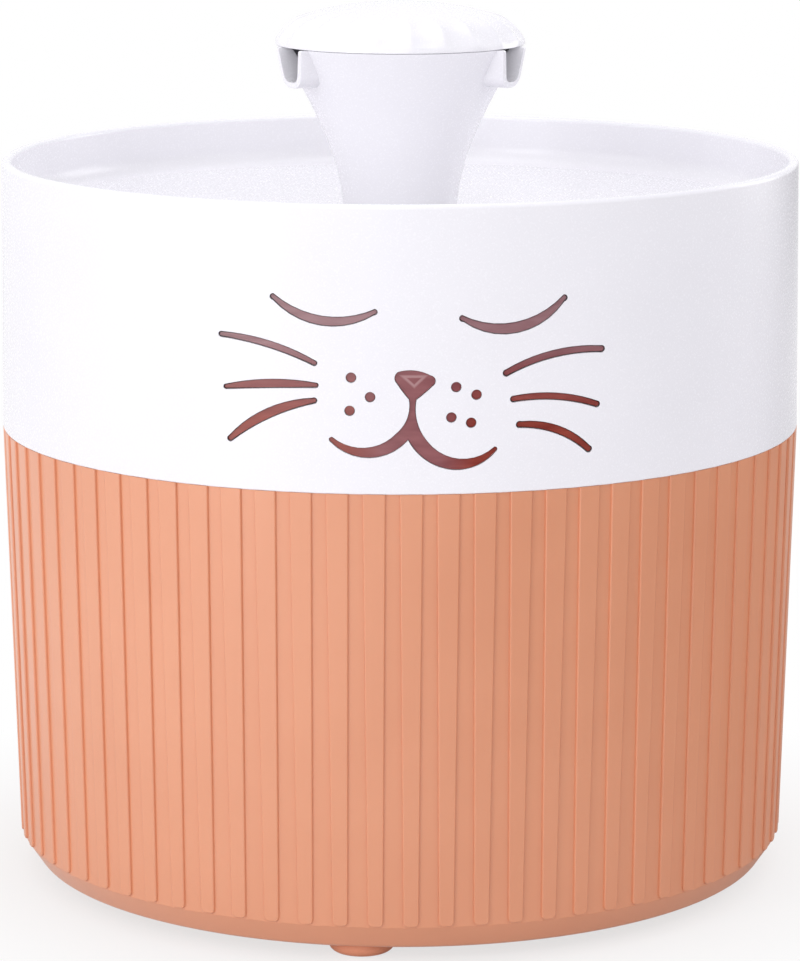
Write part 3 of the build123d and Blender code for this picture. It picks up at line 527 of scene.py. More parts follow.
def make_materials():
    """Every slot's material, by the slot's name."""
    even = (1.0, 1.0, 1.0)
    return {
        # Polypropylene moulded against a fine spark-eroded steel: an even satin coral.
        "coral_plastic": moulded(
            "satin_coral_polypropylene", "#E39972", "#DF946D", 0.33, 0.35 * MM, 0.006 * MM,
            IOR=1.6, Specular_IOR_Level=1.0, **shining_in(0.06, (0.9, 0.5, 0.3), 0.9 * MM),
        ),
        # Silicone rubber moulded in the tank's colour: matt, a little dusty.
        "coral_rubber": moulded(
            "coral_silicone_rubber", "#E39A7A", "#DC9272", 0.62, 0.25 * MM, 0.01 * MM, IOR=1.43,
        ),
        # ABS moulded against a polished cavity: white with a soft, clear gloss.
        "white_plastic": moulded(
            "gloss_white_abs", "#F0EFF3", "#EEEDF1", 0.26, 0.4 * MM, 0.0003 * MM, IOR=1.5,
        ),
        # Clear polystyrene tinted and moulded against a polished cavity: a hard gloss, with painted
        # shade of what lies behind it: mauve where the shaded skirt shows, red-brown before the
        # dark hollow.
        "smoke_plastic": window_with_painted_hollow("smoky_polystyrene"),
        # Unpigmented polypropylene, moulded: milky, light shines into its walls.
        "clear_plastic": moulded(
            "milky_polypropylene", "#DDE2E5", "#D3DADF", 0.3, 1.2 * MM, 0.004 * MM,
            IOR=1.49, **shining_in(0.35, even, 2.0 * MM),
        ),
        # ABS moulded against an etched cavity: black with a fine matt grain.
        "pump_plastic": moulded(
            "matt_black_abs", "#1B1C1E", "#222326", 0.46, 0.3 * MM, 0.012 * MM, IOR=1.52,
        ),
        # The same, in the grey that marks a part to be turned or taken off by hand.
        "grey_plastic": moulded(
            "matt_grey_abs", "#4B4D51", "#53565A", 0.42, 0.3 * MM, 0.01 * MM, IOR=1.52,
        ),
        # Poured epoxy: it sets to a black, slightly wavy glass.
        "potting": moulded("cast_epoxy", "#101113", "#17181B", 0.14, 5 * MM, 0.05 * MM, IOR=1.55),
        # Moulded clear silicone: soft and slightly frosted.
        "silicone": moulded(
            "frosted_silicone", "#CDD2D6", "#C2C8CD", 0.5, 0.4 * MM, 0.006 * MM,
            IOR=1.41, **shining_in(0.3, even, 1.5 * MM),
        ),
        # Moulded nitrile rubber: dull black.
        "black_rubber": moulded(
            "nitrile_rubber", "#141414", "#1C1C1C", 0.66, 0.2 * MM, 0.01 * MM, IOR=1.52,
        ),
        # Extruded soft PVC: black, with a faint shine along the lead.
        "lead_sheath": moulded(
            "soft_pvc_sheath", "#18181A", "#202022", 0.4, 0.5 * MM, 0.006 * MM, IOR=1.53,
        ),
        # Moulded acetal: off-white and waxy.
        "rotor_plastic": moulded(
            "waxy_acetal", "#E6E5E0", "#DDDCD6", 0.34, 0.6 * MM, 0.005 * MM, IOR=1.48,
        ),
        # Ground alumina: a hard, bright white ceramic.
        "shaft_ceramic": moulded(
            "ground_alumina", "#EDEDE8", "#E3E3DE", 0.2, 0.15 * MM, 0.002 * MM, IOR=1.76,
        ),
        # Sintered ferrite: dark grey with tiny pores.
        "ferrite": moulded(
            "sintered_ferrite", "#27272A", "#313135", 0.5, 0.12 * MM, 0.02 * MM, IOR=2.0,
        ),
        # Stamped silicon steel sheets, 0.5 mm each, stacked: fine grey stripes on edge.
        "core_steel": laminated("stacked_silicon_steel", 0.5 * MM),
        # Rolled and turned stainless steel: bright, with fine tool marks.
        "screw_steel": turned_metal("stainless_screw_steel", "#B9BBBE", "#A5A8AC", 0.28, 0.2 * MM),
        # Enamelled copper wire, 0.25 mm, wound side by side: glossy brown ridges, with painted
        # shade between the turns and painted highlight on their crests.
        "copper": wound("enamelled_copper_wire", 0.25 * MM),
        # Turned brass plated with nickel: a warm, pale shine.
        "contact_metal": turned_metal(
            "nickel_plated_brass", "#D8CCAE", "#C8BB98", 0.22, 0.15 * MM,
        ),
        # Open-cell polyurethane foam: black pores a millimetre across in a dark grey web.
        "foam": grains(
            "open_cell_foam", "#3A3C40", "#24262A", 1.1 * MM, 0.9, 0.5 * MM,
            IOR=1.5, Sheen_Weight=0.15, Sheen_Roughness=0.5,
        ),
        # Needled polyester wadding: white, matt, with short crossing fibres.
        "cotton": wadding("needled_wadding"),
        # Crushed activated carbon: matt black grains with a few bright faces.
        "carbon": grains(
            "activated_carbon_grains", "#0C0C0D", "#2A2B2D", 1.6 * MM, 0.55, 0.8 * MM,
        ),
        # Ion exchange beads: amber and glassy, near enough the same size.
        "resin_beads": grains(
            "ion_exchange_beads", "#C98B2E", "#DDB04F", 0.9 * MM, 0.18, 0.5 * MM, 0.5,
            IOR=1.58, **shining_in(0.2, (1.0, 0.6, 0.2), 0.6 * MM),
        ),
    }


def nose_depth(tree, place):
    """How far a place lies inside the nose's triangle, in metres."""
    inside = None
    for turn, edge in nose_edges:
        across = (cos(radians(turn)), 0, sin(radians(turn)))
        reach = add(tree, "VectorMath", {0: place, 1: across}, operation="DOT_PRODUCT")
        level = edge * MM + joint_z * across[2]
        depth = combined(tree, "SUBTRACT", level, reach.outputs["Value"])
        inside = combined(tree, "MINIMUM", inside, depth) if inside else depth
    return inside


def window_with_painted_hollow(name):
    """Smoky plastic with painted shade of the hollow behind it: mauve at the eyes, rose at the
    nose, red-brown low and out to the sides, where the shaded coral hollow shows.
    """
    material, tree, place = start(name)
    axes = add(tree, "SeparateXYZ", {"Vector": place})
    height = axes.outputs["Z"]
    aside = add(tree, "Math", {0: axes.outputs["X"]}, operation="ABSOLUTE").outputs["Value"]
    out = between(tree, aside, 0, 1, brown_inner * MM, brown_outer * MM)
    low = between(
        tree, height, 0, 1, joint_z + brown_starts_at * MM, joint_z + brown_full_at * MM,
    )
    middle = between(
        tree, height, 0, 1, joint_z + mauve_above * MM, joint_z + rose_below * MM,
    )
    painted_hollow_shade = combined(tree, "MULTIPLY", out, low)
    streaks = noise_at(tree, squeezed(tree, place, 1, 1, 5), 9 * MM)
    # the lighter streaks in the colour are painted reflections; the same noise also varies the
    # roughness and the bump
    grain = between(tree, streaks, 0, 1)
    # painted shade of what lies behind the window: mauve and rose for the shaded white skirt,
    # red-brown for the shaded coral hollow
    painted_hollow_colour = mixed(tree, grain, "#8E666A", "#A07A7E")
    painted_hollow_colour = mixed(tree, middle, painted_hollow_colour, mixed(tree, grain, "#824A4E", "#93595C"))
    painted_hollow_colour = mixed(tree, painted_hollow_shade, painted_hollow_colour, mixed(tree, grain, "#7E2E26", "#9A4436"))
    inside = nose_depth(tree, place)
    facet = between(tree, inside, 0, 1, facet_from * MM, facet_full * MM)
    core = between(tree, inside, 1, 0, facet_fades * MM, facet_ends * MM)
    # painted highlight: a lighter band just inside the nose's edges, where a bevel would catch the
    # light
    painted_nose_highlight = combined(tree, "MULTIPLY", facet, core)
    principled(
        tree,
        Base_Color=mixed(tree, painted_nose_highlight, painted_hollow_colour, "#AA8081"),
        Roughness=between(tree, streaks, 0.09, 0.15),
        Normal=bumped(tree, streaks, 0.05 * MM),
        IOR=1.59,
        Coat_Weight=0.6,
        Coat_Roughness=0.05,
        Coat_IOR=1.55,
    )
    return material


def bands_along_y(tree, place, width, distortion):
    """Stripes of a width, side by side along Y."""
    return add(
        tree, "TexWave",
        {"Vector": place, "Scale": 1 / width / 2, "Distortion": distortion, "Detail": 1.0},
        wave_type="BANDS", bands_direction="Y",
    ).outputs["Fac"]


def laminated(name, sheet):
    """Steel sheets on edge, stacked along Y."""
    material, tree, place = start(name)
    stripes = bands_along_y(tree, place, sheet, 0.4)
    principled(
        tree,
        Base_Color=mixed(tree, stripes, "#5F6165", "#85888D"),
        Metallic=1.0,
        Roughness=between(tree, stripes, 0.5, 0.34, 0, 1),
        Normal=bumped(tree, stripes, 0.05 * MM),
    )
    return material


def wound(name, wire):
    """Turns of lacquered wire, side by side along Y, with painted shade in the grooves between them
    and painted highlight on their crests.
    """
    material, tree, place = start(name)
    turns = bands_along_y(tree, place, wire, 0.8)
    principled(
        tree,
        # painted shade and highlight: darker where the bump sinks between turns, lighter on the
        # crests
        Base_Color=mixed(tree, turns, "#8A4420", "#C8763C"),
        Metallic=1.0,
        Roughness=0.3,
        Normal=bumped(tree, turns, 0.1 * MM),
        Coat_Weight=0.4,
    )
    return material


def wadding(name):
    """Short white fibres that cross in every direction."""
    material, tree, place = start(name)
    shade = noise_at(tree, place, 3 * MM)
    fibres, crossing = [
        noise_at(tree, squeezed(tree, place, *scale), 0.8 * MM, detail=4.0)
        for scale in ((1, 7, 1), (7, 1, 1))
    ]
    principled(
        tree,
        Base_Color=mixed(tree, between(tree, shade, 0, 1), "#EFEFEB", "#E2E3E0"),
        Roughness=0.92,
        Sheen_Weight=0.35,
        Sheen_Roughness=0.4,
        Normal=bumped(tree, combined(tree, "ADD", fibres, crossing), 0.25 * MM),
    )
    return material


# ---------------------------------------------------------------- tank


def tank_out(z):
    """Outer radius of the tank's wall between the ribs."""
    return tank_r - (joint_z - z) * draft


def tank_in(z):
    """Inner radius of the tank's wall."""
    return tank_out(z) - tank_wall


def rib_half(z):
    """Half a rib's width, measured along the wall at the joint's radius."""
    pitch = 2 * pi * joint_r / rib_count
    low_z = band_top + rib_end_gap
    share = max(0.0, (z - low_z) / (joint_z - low_z))
    return pitch * (rib_low_share + (rib_top_share - rib_low_share) * share) / 2


def pull(bm, edges, place):
    """Extrudes a chain of edges and moves each new vertex to place(its position)."""
    made = bmesh.ops.extrude_edge_only(bm, edges=edges)["geom"]
    verts = {item for item in made if isinstance(item, bmesh.types.BMVert)}
    for vert in verts:
        vert.co = place(vert.co)
    return [
        item for item in made
        if isinstance(item, bmesh.types.BMEdge) and verts.issuperset(item.verts)
    ]


def rib_strip():
    """One rib with its share of the wall, laid flat: X along the wall, -Y outwards."""
    bm = bmesh.new()
    low_z = band_top + rib_end_gap
    half_pitch = pi * joint_r / rib_count
    columns = (-half_pitch, -rib_half(low_z), rib_half(low_z), half_pitch)
    row = [bm.verts.new((x, 0, band_top)) for x in columns]
    edges = [bm.edges.new(pair) for pair in zip(row, row[1:])]
    last_half = rib_half(low_z)
    for step in range(rib_rows + 1):
        z = low_z + (joint_z - low_z) * step / rib_rows
        growth = rib_half(z) / last_half

        def lifted(co):
            on_rib = abs(co.x) < half_pitch * 0.99
            return Vector((co.x * (growth if on_rib else 1), 0, z))

        edges = pull(bm, edges, lifted)
        last_half = rib_half(z)

    def is_rib(face):
        centre = face.calc_center_median()
        inner = min(rib_half(joint_z) * 0.7, rib_half(centre.z))
        return centre.z > low_z and abs(centre.x) < inner

    faces = [face for face in bm.faces if is_rib(face)]
    edges = [edge for edge in bm.edges if any(face in faces for face in edge.link_faces)]
    raised = bmesh.ops.extrude_face_region(bm, geom=faces + edges)["geom"]
    raised = [item for item in raised if isinstance(item, bmesh.types.BMVert)]
    bmesh.ops.translate(bm, verts=raised, vec=(0, -rib_relief, 0))
    near = rib_relief / 4
    corners = [
        edge for edge in bm.edges
        if abs(edge.verts[0].co.y - edge.verts[1].co.y) > rib_relief / 2
        and abs(edge.verts[0].co.z - low_z) < near
        and abs(abs(edge.verts[0].co.x) - rib_half(low_z)) < near
    ]
    rounded(bm, corners, 2 * rib_half(low_z) * rib_corner_share, 4)
    crests = [
        edge for edge in bm.edges
        if all(vert.co.y < -rib_relief * 0.9 for vert in edge.verts)
        and edge.is_manifold and edge.calc_face_angle() > radians(60)
        and any(vert.co.z < joint_z - near for vert in edge.verts)
    ]
    return rounded(bm, crests, rib_edge, 3)


def steps_down(points):
    """(radius, height) of a rounded profile that only goes inwards and down."""
    wire = outline(points, segments=4)
    steps = [(vert.co.x, vert.co.z) for vert in wire.verts]
    wire.free()
    return sorted(steps, key=lambda step: (-step[1], -step[0]))


def ledge(turn):
    """A bracket on the tank's inner wall, flat on top and sloping underneath."""
    wall_x = -tank_in(ledge_z)
    bm = prism(outline((
        (wall_x - tank_wall / 2, ledge_z),
        (wall_x + ledge_reach, ledge_z, ledge_edge),
        (wall_x + ledge_reach, ledge_z - ledge_w / 4, ledge_edge),
        (-tank_in(ledge_z - ledge_drop) - tank_wall / 2, ledge_z - ledge_drop),
    ), closed=True), ledge_w)
    return put(bm, (0, ledge_w / 2, 0), turn)


def rear_disc(radius, depth, y):
    """A cylinder through the rear wall at the inlet, from y inwards by its depth."""
    return put(disc(radius, depth), (0, y, inlet_z), tilt=90)


def tank_shell():
    """Ribs, wall, rounded band and floor in one shell, with the ledges, the inlet's seat
    and the feet's recesses cut or joined."""
    bm = rib_strip()
    for vert in bm.verts:
        angle = vert.co.x / joint_r - pi / 2
        radius = tank_out(vert.co.z) - vert.co.y
        vert.co = (radius * cos(angle), radius * sin(angle), vert.co.z)
    bmesh.ops.spin(
        bm, geom=bm.verts[:] + bm.edges[:] + bm.faces[:], cent=(0, 0, 0), axis=(0, 0, 1),
        dvec=(0, 0, 0), angle=2 * pi * (1 - 1 / rib_count), steps=rib_count - 1, use_duplicate=True,
    )
    bmesh.ops.remove_doubles(bm, verts=bm.verts, dist=weld)
    outside = steps_down((
        (tank_out(band_top), band_top),
        (tank_out(band_top) - band_in, tank_z, band_round),
        (0, tank_z),
    ))
    inside = steps_down((
        (tank_r, joint_z),
        (tank_in(joint_z), joint_z, joint_round),
        (tank_in(floor_z), floor_z, floor_round),
        (0, floor_z),
    ))
    for profile in (outside, inside):
        level = profile[0][1]
        edges = [
            edge for edge in bm.edges
            if edge.is_boundary and all(abs(vert.co.z - level) < 10 * weld for vert in edge.verts)
        ]
        for radius, z in profile[1:]:

            def ring(co):
                angle = atan2(co.y, co.x)
                return Vector((radius * cos(angle), radius * sin(angle), z))

            edges = pull(bm, edges, ring)
    tidy(bm)
    ledges = [ledge(ledge_turn + 360 / ledge_count * place) for place in range(ledge_count)]
    bm = carve(bm, merged(*ledges), "UNION")
    pocket_y = tank_out(inlet_z) - inlet_pocket
    bm = carve(bm, rear_disc(inlet_boss_r, inlet_boss_depth, pocket_y), "UNION")
    pocket_depth = tank_wall + rib_relief
    bm = carve(bm, rear_disc(inlet_pocket_r, pocket_depth, pocket_y + tank_wall + rib_relief))
    bore_depth = 4 * inlet_boss_depth
    bm = carve(bm, rear_disc(inlet_body_r, bore_depth, pocket_y + 2 * inlet_boss_depth))
    foot_place = (0, -foot_ring_r, tank_z - foot_recess)
    recesses = [
        put(disc(foot_r, 2 * foot_recess), foot_place, foot_turn + 360 / foot_count * place)
        for place in range(foot_count)
    ]
    return carve(bm, merged(*recesses))


# ---------------------------------------------------------------- bowl and face


def arc_to(bm, vert, via, end):
    """Draws an arc in the XZ plane from vert through via to end, all in millimetres."""
    first = complex(vert.co.x, vert.co.z) / MM
    via, end = complex(*via), complex(*end)
    chord, other = via - first, end - first
    area = chord.real * other.imag - chord.imag * other.real
    centre = first + 1j * (abs(other) ** 2 * chord - abs(chord) ** 2 * other) / (2 * area)
    sweep = phase((end - centre) / (first - centre))
    if area > 0 > sweep:
        sweep += 2 * pi
    if area < 0 < sweep:
        sweep -= 2 * pi
    made = bmesh.ops.spin(
        bm, geom=[vert], cent=(centre.real * MM, 0, centre.imag * MM), axis=(0, -1, 0),
        dvec=(0, 0, 0), angle=sweep, steps=arc_steps,
    )["geom_last"]
    return [item for item in made if isinstance(item, bmesh.types.BMVert)][0]


def arcs_outline(start_point, arcs):
    """A closed wire of arcs, lifted from the joint's level."""
    bm = bmesh.new()
    vert = bm.verts.new((start_point[0] * MM, 0, start_point[1] * MM))
    for via, end in arcs:
        vert = arc_to(bm, vert, via, end)
    bmesh.ops.remove_doubles(bm, verts=bm.verts, dist=weld)
    bmesh.ops.translate(bm, verts=bm.verts, vec=(0, 0, joint_z))
    return bm


def stroke_outline(begin, middle, end, end_w, middle_w):
    """One curved cut with rounded ends."""
    begin, middle, end = [Vector(point) for point in (begin, middle, end)]
    along = (end - begin).normalized()
    across = Vector((-along.y, along.x))
    tip, half = end_w / 2, middle_w / 2
    upper_begin, upper_end = begin + across * tip, end + across * tip
    lower_begin, lower_end = begin - across * tip, end - across * tip
    return arcs_outline(upper_begin, (
        (middle + across * half, upper_end),
        (end + along * tip, lower_end),
        (middle - across * half, lower_begin),
        (begin - along * tip, upper_begin),
    ))


def face_cutters():
    """Every cut of the face as a prism that reaches through the front of the skirt."""
    shapes = [
        stroke_outline(*points, end_w + flare_end, middle_w + flare_middle)
        for *points, end_w, middle_w in face_strokes.values()
    ]
    shapes.append(arcs_outline(muzzle_start, muzzle_arcs))
    for x, z in face_dots:
        left, right = (x - dot_r, z), (x + dot_r, z)
        shapes.append(arcs_outline(left, (((x, z + dot_r), right), ((x, z - dot_r), left))))
    start_at = (0, -joint_r * face_reach, 0)
    return merged(*[put(prism(shape, joint_r * face_cut), start_at) for shape in shapes])


def skirt_out(z):
    """Outer radius of the bowl's skirt."""
    return joint_r - bowl_draft_in * (z - joint_z) / (rim_z - joint_z)


def drain_slot(turn):
    """A rounded slot that cuts through the tray's floor, pointing away from the hub."""
    long, wide, ends = drain_len / 2, drain_w / 2, (drain_w / 2) * drain_end_share
    wire = outline(
        ((-long, -wide, ends), (long, -wide, ends), (long, wide, ends), (-long, wide, ends)),
        closed=True,
    )
    flat = put(prism(wire, 4 * tray_t), tilt=90)
    return put(flat, (drain_r, 0, tray_low_z + tray_t), turn)


def bowl_shell():
    """Skirt, rim, tray, hub and spigot turned in one shell, with the drain and the face cut."""
    spigot_r = tank_in(joint_z) - spigot_gap
    rim_r = joint_r - bowl_draft_in
    wall_in = skirt_out(tray_wall_z) - bowl_wall
    hub_out = hub_r + hub_wall
    spigot_in = spigot_r - spigot_wall
    bm = turned((
        (spigot_r, spigot_low_z, hidden_edge),
        (spigot_r, joint_z),
        (joint_r, joint_z, joint_round),
        (rim_r, rim_z, rim_round),
        (rim_r - bowl_wall, rim_z, rim_round),
        (wall_in, tray_wall_z, tray_corner),
        (tray_flat_r, tray_low_z),
        (hub_r, tray_low_z),
        (hub_r, pipe_low_z),
        (hub_out, pipe_low_z, hidden_edge),
        (hub_out, tray_low_z - tray_t),
        (tray_flat_r, tray_low_z - tray_t),
        (wall_in, tray_wall_z - tray_t),
        (joint_r - bowl_wall, joint_z + spigot_step),
        (spigot_in, joint_z + spigot_step / 2),
        (spigot_in, spigot_low_z, hidden_edge),
    ), closed=True, steps=360)
    slots = [drain_slot(360 / drain_count * place) for place in range(drain_count)]
    bm = carve(bm, merged(*slots))
    bm = carve(bm, face_cutters())

    def on_face(edge):
        return all(
            vert.co.y < -joint_r * face_reach and vert.co.z > joint_z + face_low
            and hypot(vert.co.x, vert.co.y) > skirt_out(vert.co.z) - on_skin
            for vert in edge.verts
        )

    return soften(bm, cut_edge, on_face)


# ---------------------------------------------------------------- spout


def bell(z, inset):
    """The bell's radius at a height, a quadratic curve from foot to brim."""
    rise = bell_h - 2 * bell_bend_h
    share = ((bell_bend_h ** 2 + rise * (z - bell_z)) ** 0.5 - bell_bend_h) / rise
    bend = 2 * share * (1 - share) * bell_bend_out
    return spout_foot_r - inset + bend + share ** 2 * (brim_r - spout_foot_r)


def bell_points(low, high, inset):
    """(radius, height) along the bell, upwards."""
    levels = [low + (high - low) * step / bell_steps for step in range(bell_steps + 1)]
    return [(bell(z, inset), z) for z in levels]


def lip_block():
    """A lip before its channel is cut: a rounded block that runs out towards -Y."""
    bm = prism(outline((
        (-lip_w / 2, 0),
        (-lip_low_w / 2, -lip_depth, lip_round),
        (lip_low_w / 2, -lip_depth, lip_round),
        (lip_w / 2, 0),
    ), closed=True, segments=7), lip_r - spout_foot_r)
    put(bm, (0, -spout_foot_r, brim_z - lip_sink))
    for vert in bm.verts:
        if vert.co.y < -lip_r + lip_edge:
            vert.co.y += lip_lean * (brim_z - vert.co.z) / lip_depth
    root_y = -spout_foot_r - lip_edge
    return soften(bm, lip_edge, lambda edge: all(vert.co.y < root_y for vert in edge.verts))


def lip_channel():
    """The way out for the water, cut through the bell and the lip."""
    high, low = lip_w / 2 - lip_wall, lip_low_w / 2 - lip_wall
    bm = prism(outline((
        (-high, lip_depth),
        (-high, 0),
        (-low, lip_wall - lip_depth, lip_round - lip_wall),
        (low, lip_wall - lip_depth, lip_round - lip_wall),
        (high, 0),
        (high, lip_depth),
    ), closed=True, segments=7), lip_r)
    return put(bm, (0, -spout_foot_r, brim_z))


def bell_core():
    """A solid that fills the bell up to the middle of its wall."""
    return turned([
        (0, bell_z),
        *bell_points(bell_z, brim_z + lip_wall, bell_wall / 2),
        (0, brim_z + lip_wall),
    ], steps=96)


def spout_shell():
    """Bell, basin and pipe turned in one shell, with the lips joined and their channels cut."""
    under_z = basin_z - basin_floor
    pipe_out = pipe_r + pipe_wall
    brim = bell_points(bell_z, brim_z, 0)
    basin = bell_points(basin_z, brim_z, bell_wall)[::-1]
    under = bell_points(bell_z, under_z, bell_wall)[::-1]
    bm = turned([
        (spout_foot_r, tray_low_z, hidden_edge),
        *brim[:-1],
        (*brim[-1], brim_edge),
        (*basin[0], bell_wall * brim_inner_share),
        *basin[1:-1],
        (*basin[-1], basin_corner),
        (pipe_out, basin_z, pipe_root),
        (pipe_out, basin_z + pipe_lip, pipe_edge),
        (pipe_r, basin_z + pipe_lip, pipe_edge),
        (pipe_r, pipe_low_z, hidden_edge),
        (pipe_out, pipe_low_z, hidden_edge),
        (pipe_out, under_z),
        *under,
        (spout_foot_r - bell_wall, tray_low_z),
    ], closed=True)
    for place in range(lip_count):
        turn = 180 + 360 / lip_count * place
        block = carve(put(lip_block(), turn=turn), bell_core())
        bm = carve(bm, block, "UNION")
        bm = carve(bm, put(lip_channel(), turn=turn))
    return bm


# ---------------------------------------------------------------- cap


def dome_points(inset):
    """Half section of the cap's dome from the axis outwards, drawn in by inset."""
    edge_r = cap_r - inset
    edge_z = cap_z if inset else cap_z + cap_edge_h
    turn_r = cap_dome_r - inset / 2
    turn_z = cap_top_z - inset - cap_dome_drop
    dome_r = (turn_r ** 2 + cap_dome_drop ** 2) / (2 * cap_dome_drop)
    crown = [
        (r, cap_top_z - inset - dome_r + (dome_r ** 2 - r ** 2) ** 0.5)
        for r in (turn_r * step / dome_steps for step in range(dome_steps + 1))
    ]
    brow = []
    for step in range(1, brow_steps + 1):
        share = step / brow_steps
        bulge = 1 - (1 - share) ** 2 * brow_bend - (1 - brow_bend) * (1 - share)
        fall = share ** brow_fall
        brow.append((turn_r + (edge_r - turn_r) * bulge, turn_z + (edge_z - turn_z) * fall))
    return crown + brow


def cap_shell():
    """The dome turned in one shell, its edge scooped, and two crossed fins joined below."""
    outer, inner = dome_points(0), dome_points(cap_wall)[::-1]
    bm = turned([
        *outer,
        (cap_r, cap_z, cap_edge),
        (cap_r - cap_wall, cap_z, hidden_edge),
        *inner[1:],
    ], steps=scoop_count * scoop_steps)
    for vert in bm.verts:
        radius = hypot(vert.co.x, vert.co.y)
        outside = vert.co.z > cap_z + cap_foot and vert.normal.z > 0
        outside = outside or radius > cap_r - cap_skin
        if not outside or radius < scoop_inner_r:
            continue
        angle = atan2(vert.co.y, vert.co.x) + pi / 2 - radians(scoop_turn)
        across = 2 * (angle * scoop_count / (2 * pi) % 1) - 1
        reach = min(1.0, (radius - scoop_inner_r) / (scoop_full_r - scoop_inner_r))
        depth = scoop_depth * (1 - across ** 2) * reach ** 2 * (3 - 2 * reach)
        depth *= min(1.0, max(0.0, vert.co.z - cap_z) / scoop_end_h)
        vert.co -= vert.normal * depth
    pipe_out = pipe_r + pipe_wall
    pipe_top_z = basin_z + pipe_lip
    fin_low_z, fin_top_z = pipe_top_z - fin_len, cap_top_z - cap_wall * fin_sink_share
    in_pipe, on_pipe = pipe_r - fin_play, pipe_out - fin_play
    fin_wire = (
        (-in_pipe, fin_low_z, pipe_edge),
        (in_pipe, fin_low_z, pipe_edge),
        (in_pipe, pipe_top_z),
        (on_pipe, pipe_top_z, hidden_edge),
        (on_pipe, fin_top_z),
        (-on_pipe, fin_top_z),
        (-on_pipe, pipe_top_z, hidden_edge),
        (-in_pipe, pipe_top_z),
    )
    for turn in (0, 90):
        fin = put(prism(outline(fin_wire, closed=True), fin_t), (0, fin_t / 2, 0), turn)
        bm = carve(bm, fin, "UNION")
    return bm


# ---------------------------------------------------------------- soft filter layers


def pad_ring(node, depth, seed):
    """A cut ring of soft material in its node's space, its faces uneven by a depth."""
    low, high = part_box(node)
    width = high.x - filter_hole_r
    top = [
        (filter_hole_r + width * step / pad_rings, high.z) for step in range(pad_rings + 1)
    ]
    bottom = [(r, low.z) for r, _ in top[::-1]]
    points = []
    for level in (top, bottom):
        points += [(*level[0], pad_corner), *level[1:-1], (*level[-1], pad_corner)]
    bm = turned(points, closed=True, steps=120, segments=3)
    middle = (low.z + high.z) / 2
    for vert in bm.verts:
        swell = noise.noise(Vector((vert.co.x, vert.co.y, seed)) / pad_swell)
        tuft = noise.noise(Vector((vert.co.x, vert.co.y, seed + 1)) / pad_tuft)
        sink = depth * (0.55 + 0.3 * swell + 0.15 * tuft)
        vert.co.z += -sink if vert.co.z > middle else sink * 0.5
    return bm


def sponge_block(node):
    """The pump's sponge: a soft block with worn corners."""
    low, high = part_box(node)
    centre = (low + high) / 2
    bm = bmesh.new()
    bmesh.ops.create_cube(bm, size=1.0)
    bmesh.ops.scale(bm, verts=bm.verts, vec=high - low)
    bmesh.ops.translate(bm, verts=bm.verts, vec=centre)
    rounded(bm, bm.edges[:], sponge_corner, 4)
    bmesh.ops.subdivide_edges(bm, edges=bm.edges[:], cuts=4, use_grid_fill=True)
    for vert in bm.verts:
        dent = sponge_dent * (1 + noise.noise(vert.co / sponge_dent_size))
        vert.co += (centre - vert.co).normalized() * dent
    return tidy(bm)


# ---------------------------------------------------------------- the whole fountain


def dress(materials):
    """Gives every node its material, and puts the finer pieces in place of nine of them."""
    slots = {part["node"]: part["material_slot"] for part in frame["record"]["subparts"]}
    for name, node in frame["nodes"].items():
        node.data.materials.clear()
        node.data.materials.append(materials[slots[name]])
    # name, mesh, body, slot, node, and how full of stuffing it is if it gives way
    rows = (
        ("tank_shell", tank_shell(), "base", "coral_plastic", "reservoir_tank", None),
        ("bowl_shell", bowl_shell(), "bowl", "white_plastic", "drinking_bowl", None),
        ("spout_shell", spout_shell(), "spout", "white_plastic", "spout_column", None),
        ("cap_shell", cap_shell(), "cap", "white_plastic", "spout_cap", None),
        ("foam_layer", pad_ring("filter_foam_pad", 0.25 * MM, 1.0),
         "basket", "foam", "filter_foam_pad", 0.5),
        ("cotton_layer", pad_ring("filter_cotton_pad", 0.35 * MM, 2.0),
         "basket", "cotton", "filter_cotton_pad", 0.4),
        ("carbon_layer", pad_ring("filter_carbon_bed", 0.2 * MM, 3.0),
         "basket", "carbon", "filter_carbon_bed", None),
        ("resin_layer", pad_ring("filter_resin_bed", 0.2 * MM, 4.0),
         "basket", "resin_beads", "filter_resin_bed", None),
        ("intake_sponge", sponge_block("prefilter_sponge"),
         "strainer", "foam", "prefilter_sponge", 0.5),
    )
    for name, bm, body, slot, node, fill in rows:
        made = piece(name, bm, body, slot, materials, node)


# ---------------------------------------------------------------- stage, light, camera


stage_r = 4.0
lit_near, lit_far = 0.08, 0.15      # metres from the middle, where the floor's glow grows
lit_share = 0.7                     # how much of the floor glows right under the fountain
surround_level = 0.84               # of white, from all around
lamp_aim = (0, 0, 0.1)
softboxes = (
    # name, place, width, height, power in watts
    ("key", (-0.76, -0.78, 0.4), 0.3, 0.76, 2.5),
    ("left", (-1.05, -0.2, 0.42), 0.3, 0.8, 0.9),
    ("front", (-0.1, -1.25, 0.6), 0.9, 0.8, 2.3),
    ("fill", (0.95, -0.7, 0.8), 0.6, 0.6, 1.0),
    ("top", (0, 0.1, 1.1), 0.7, 0.7, 2.1),
    ("right_rim", (0.9, 0.5, 0.4), 0.4, 0.7, 2.4),
)
camera_place = (-0.024, -0.9082, 0.26646)
camera_down, camera_right = 11.12, 1.514    # degrees from level and from +Y
camera_lens, camera_sensor = 151.75, 36     # millimetres


def softbox(name, place, width, height, power):
    """A plain white panel of light that looks at the fountain."""
    lamp = bpy.data.lights.new(name, "AREA")
    lamp.shape = "RECTANGLE"
    lamp.size, lamp.size_y = width, height
    lamp.energy = power
    made = bpy.data.objects.new(name, lamp)
    made.location = place
    made.rotation_euler = (Vector(lamp_aim) - Vector(place)).to_track_quat("-Z", "Y").to_euler()
    bpy.context.scene.collection.objects.link(made)


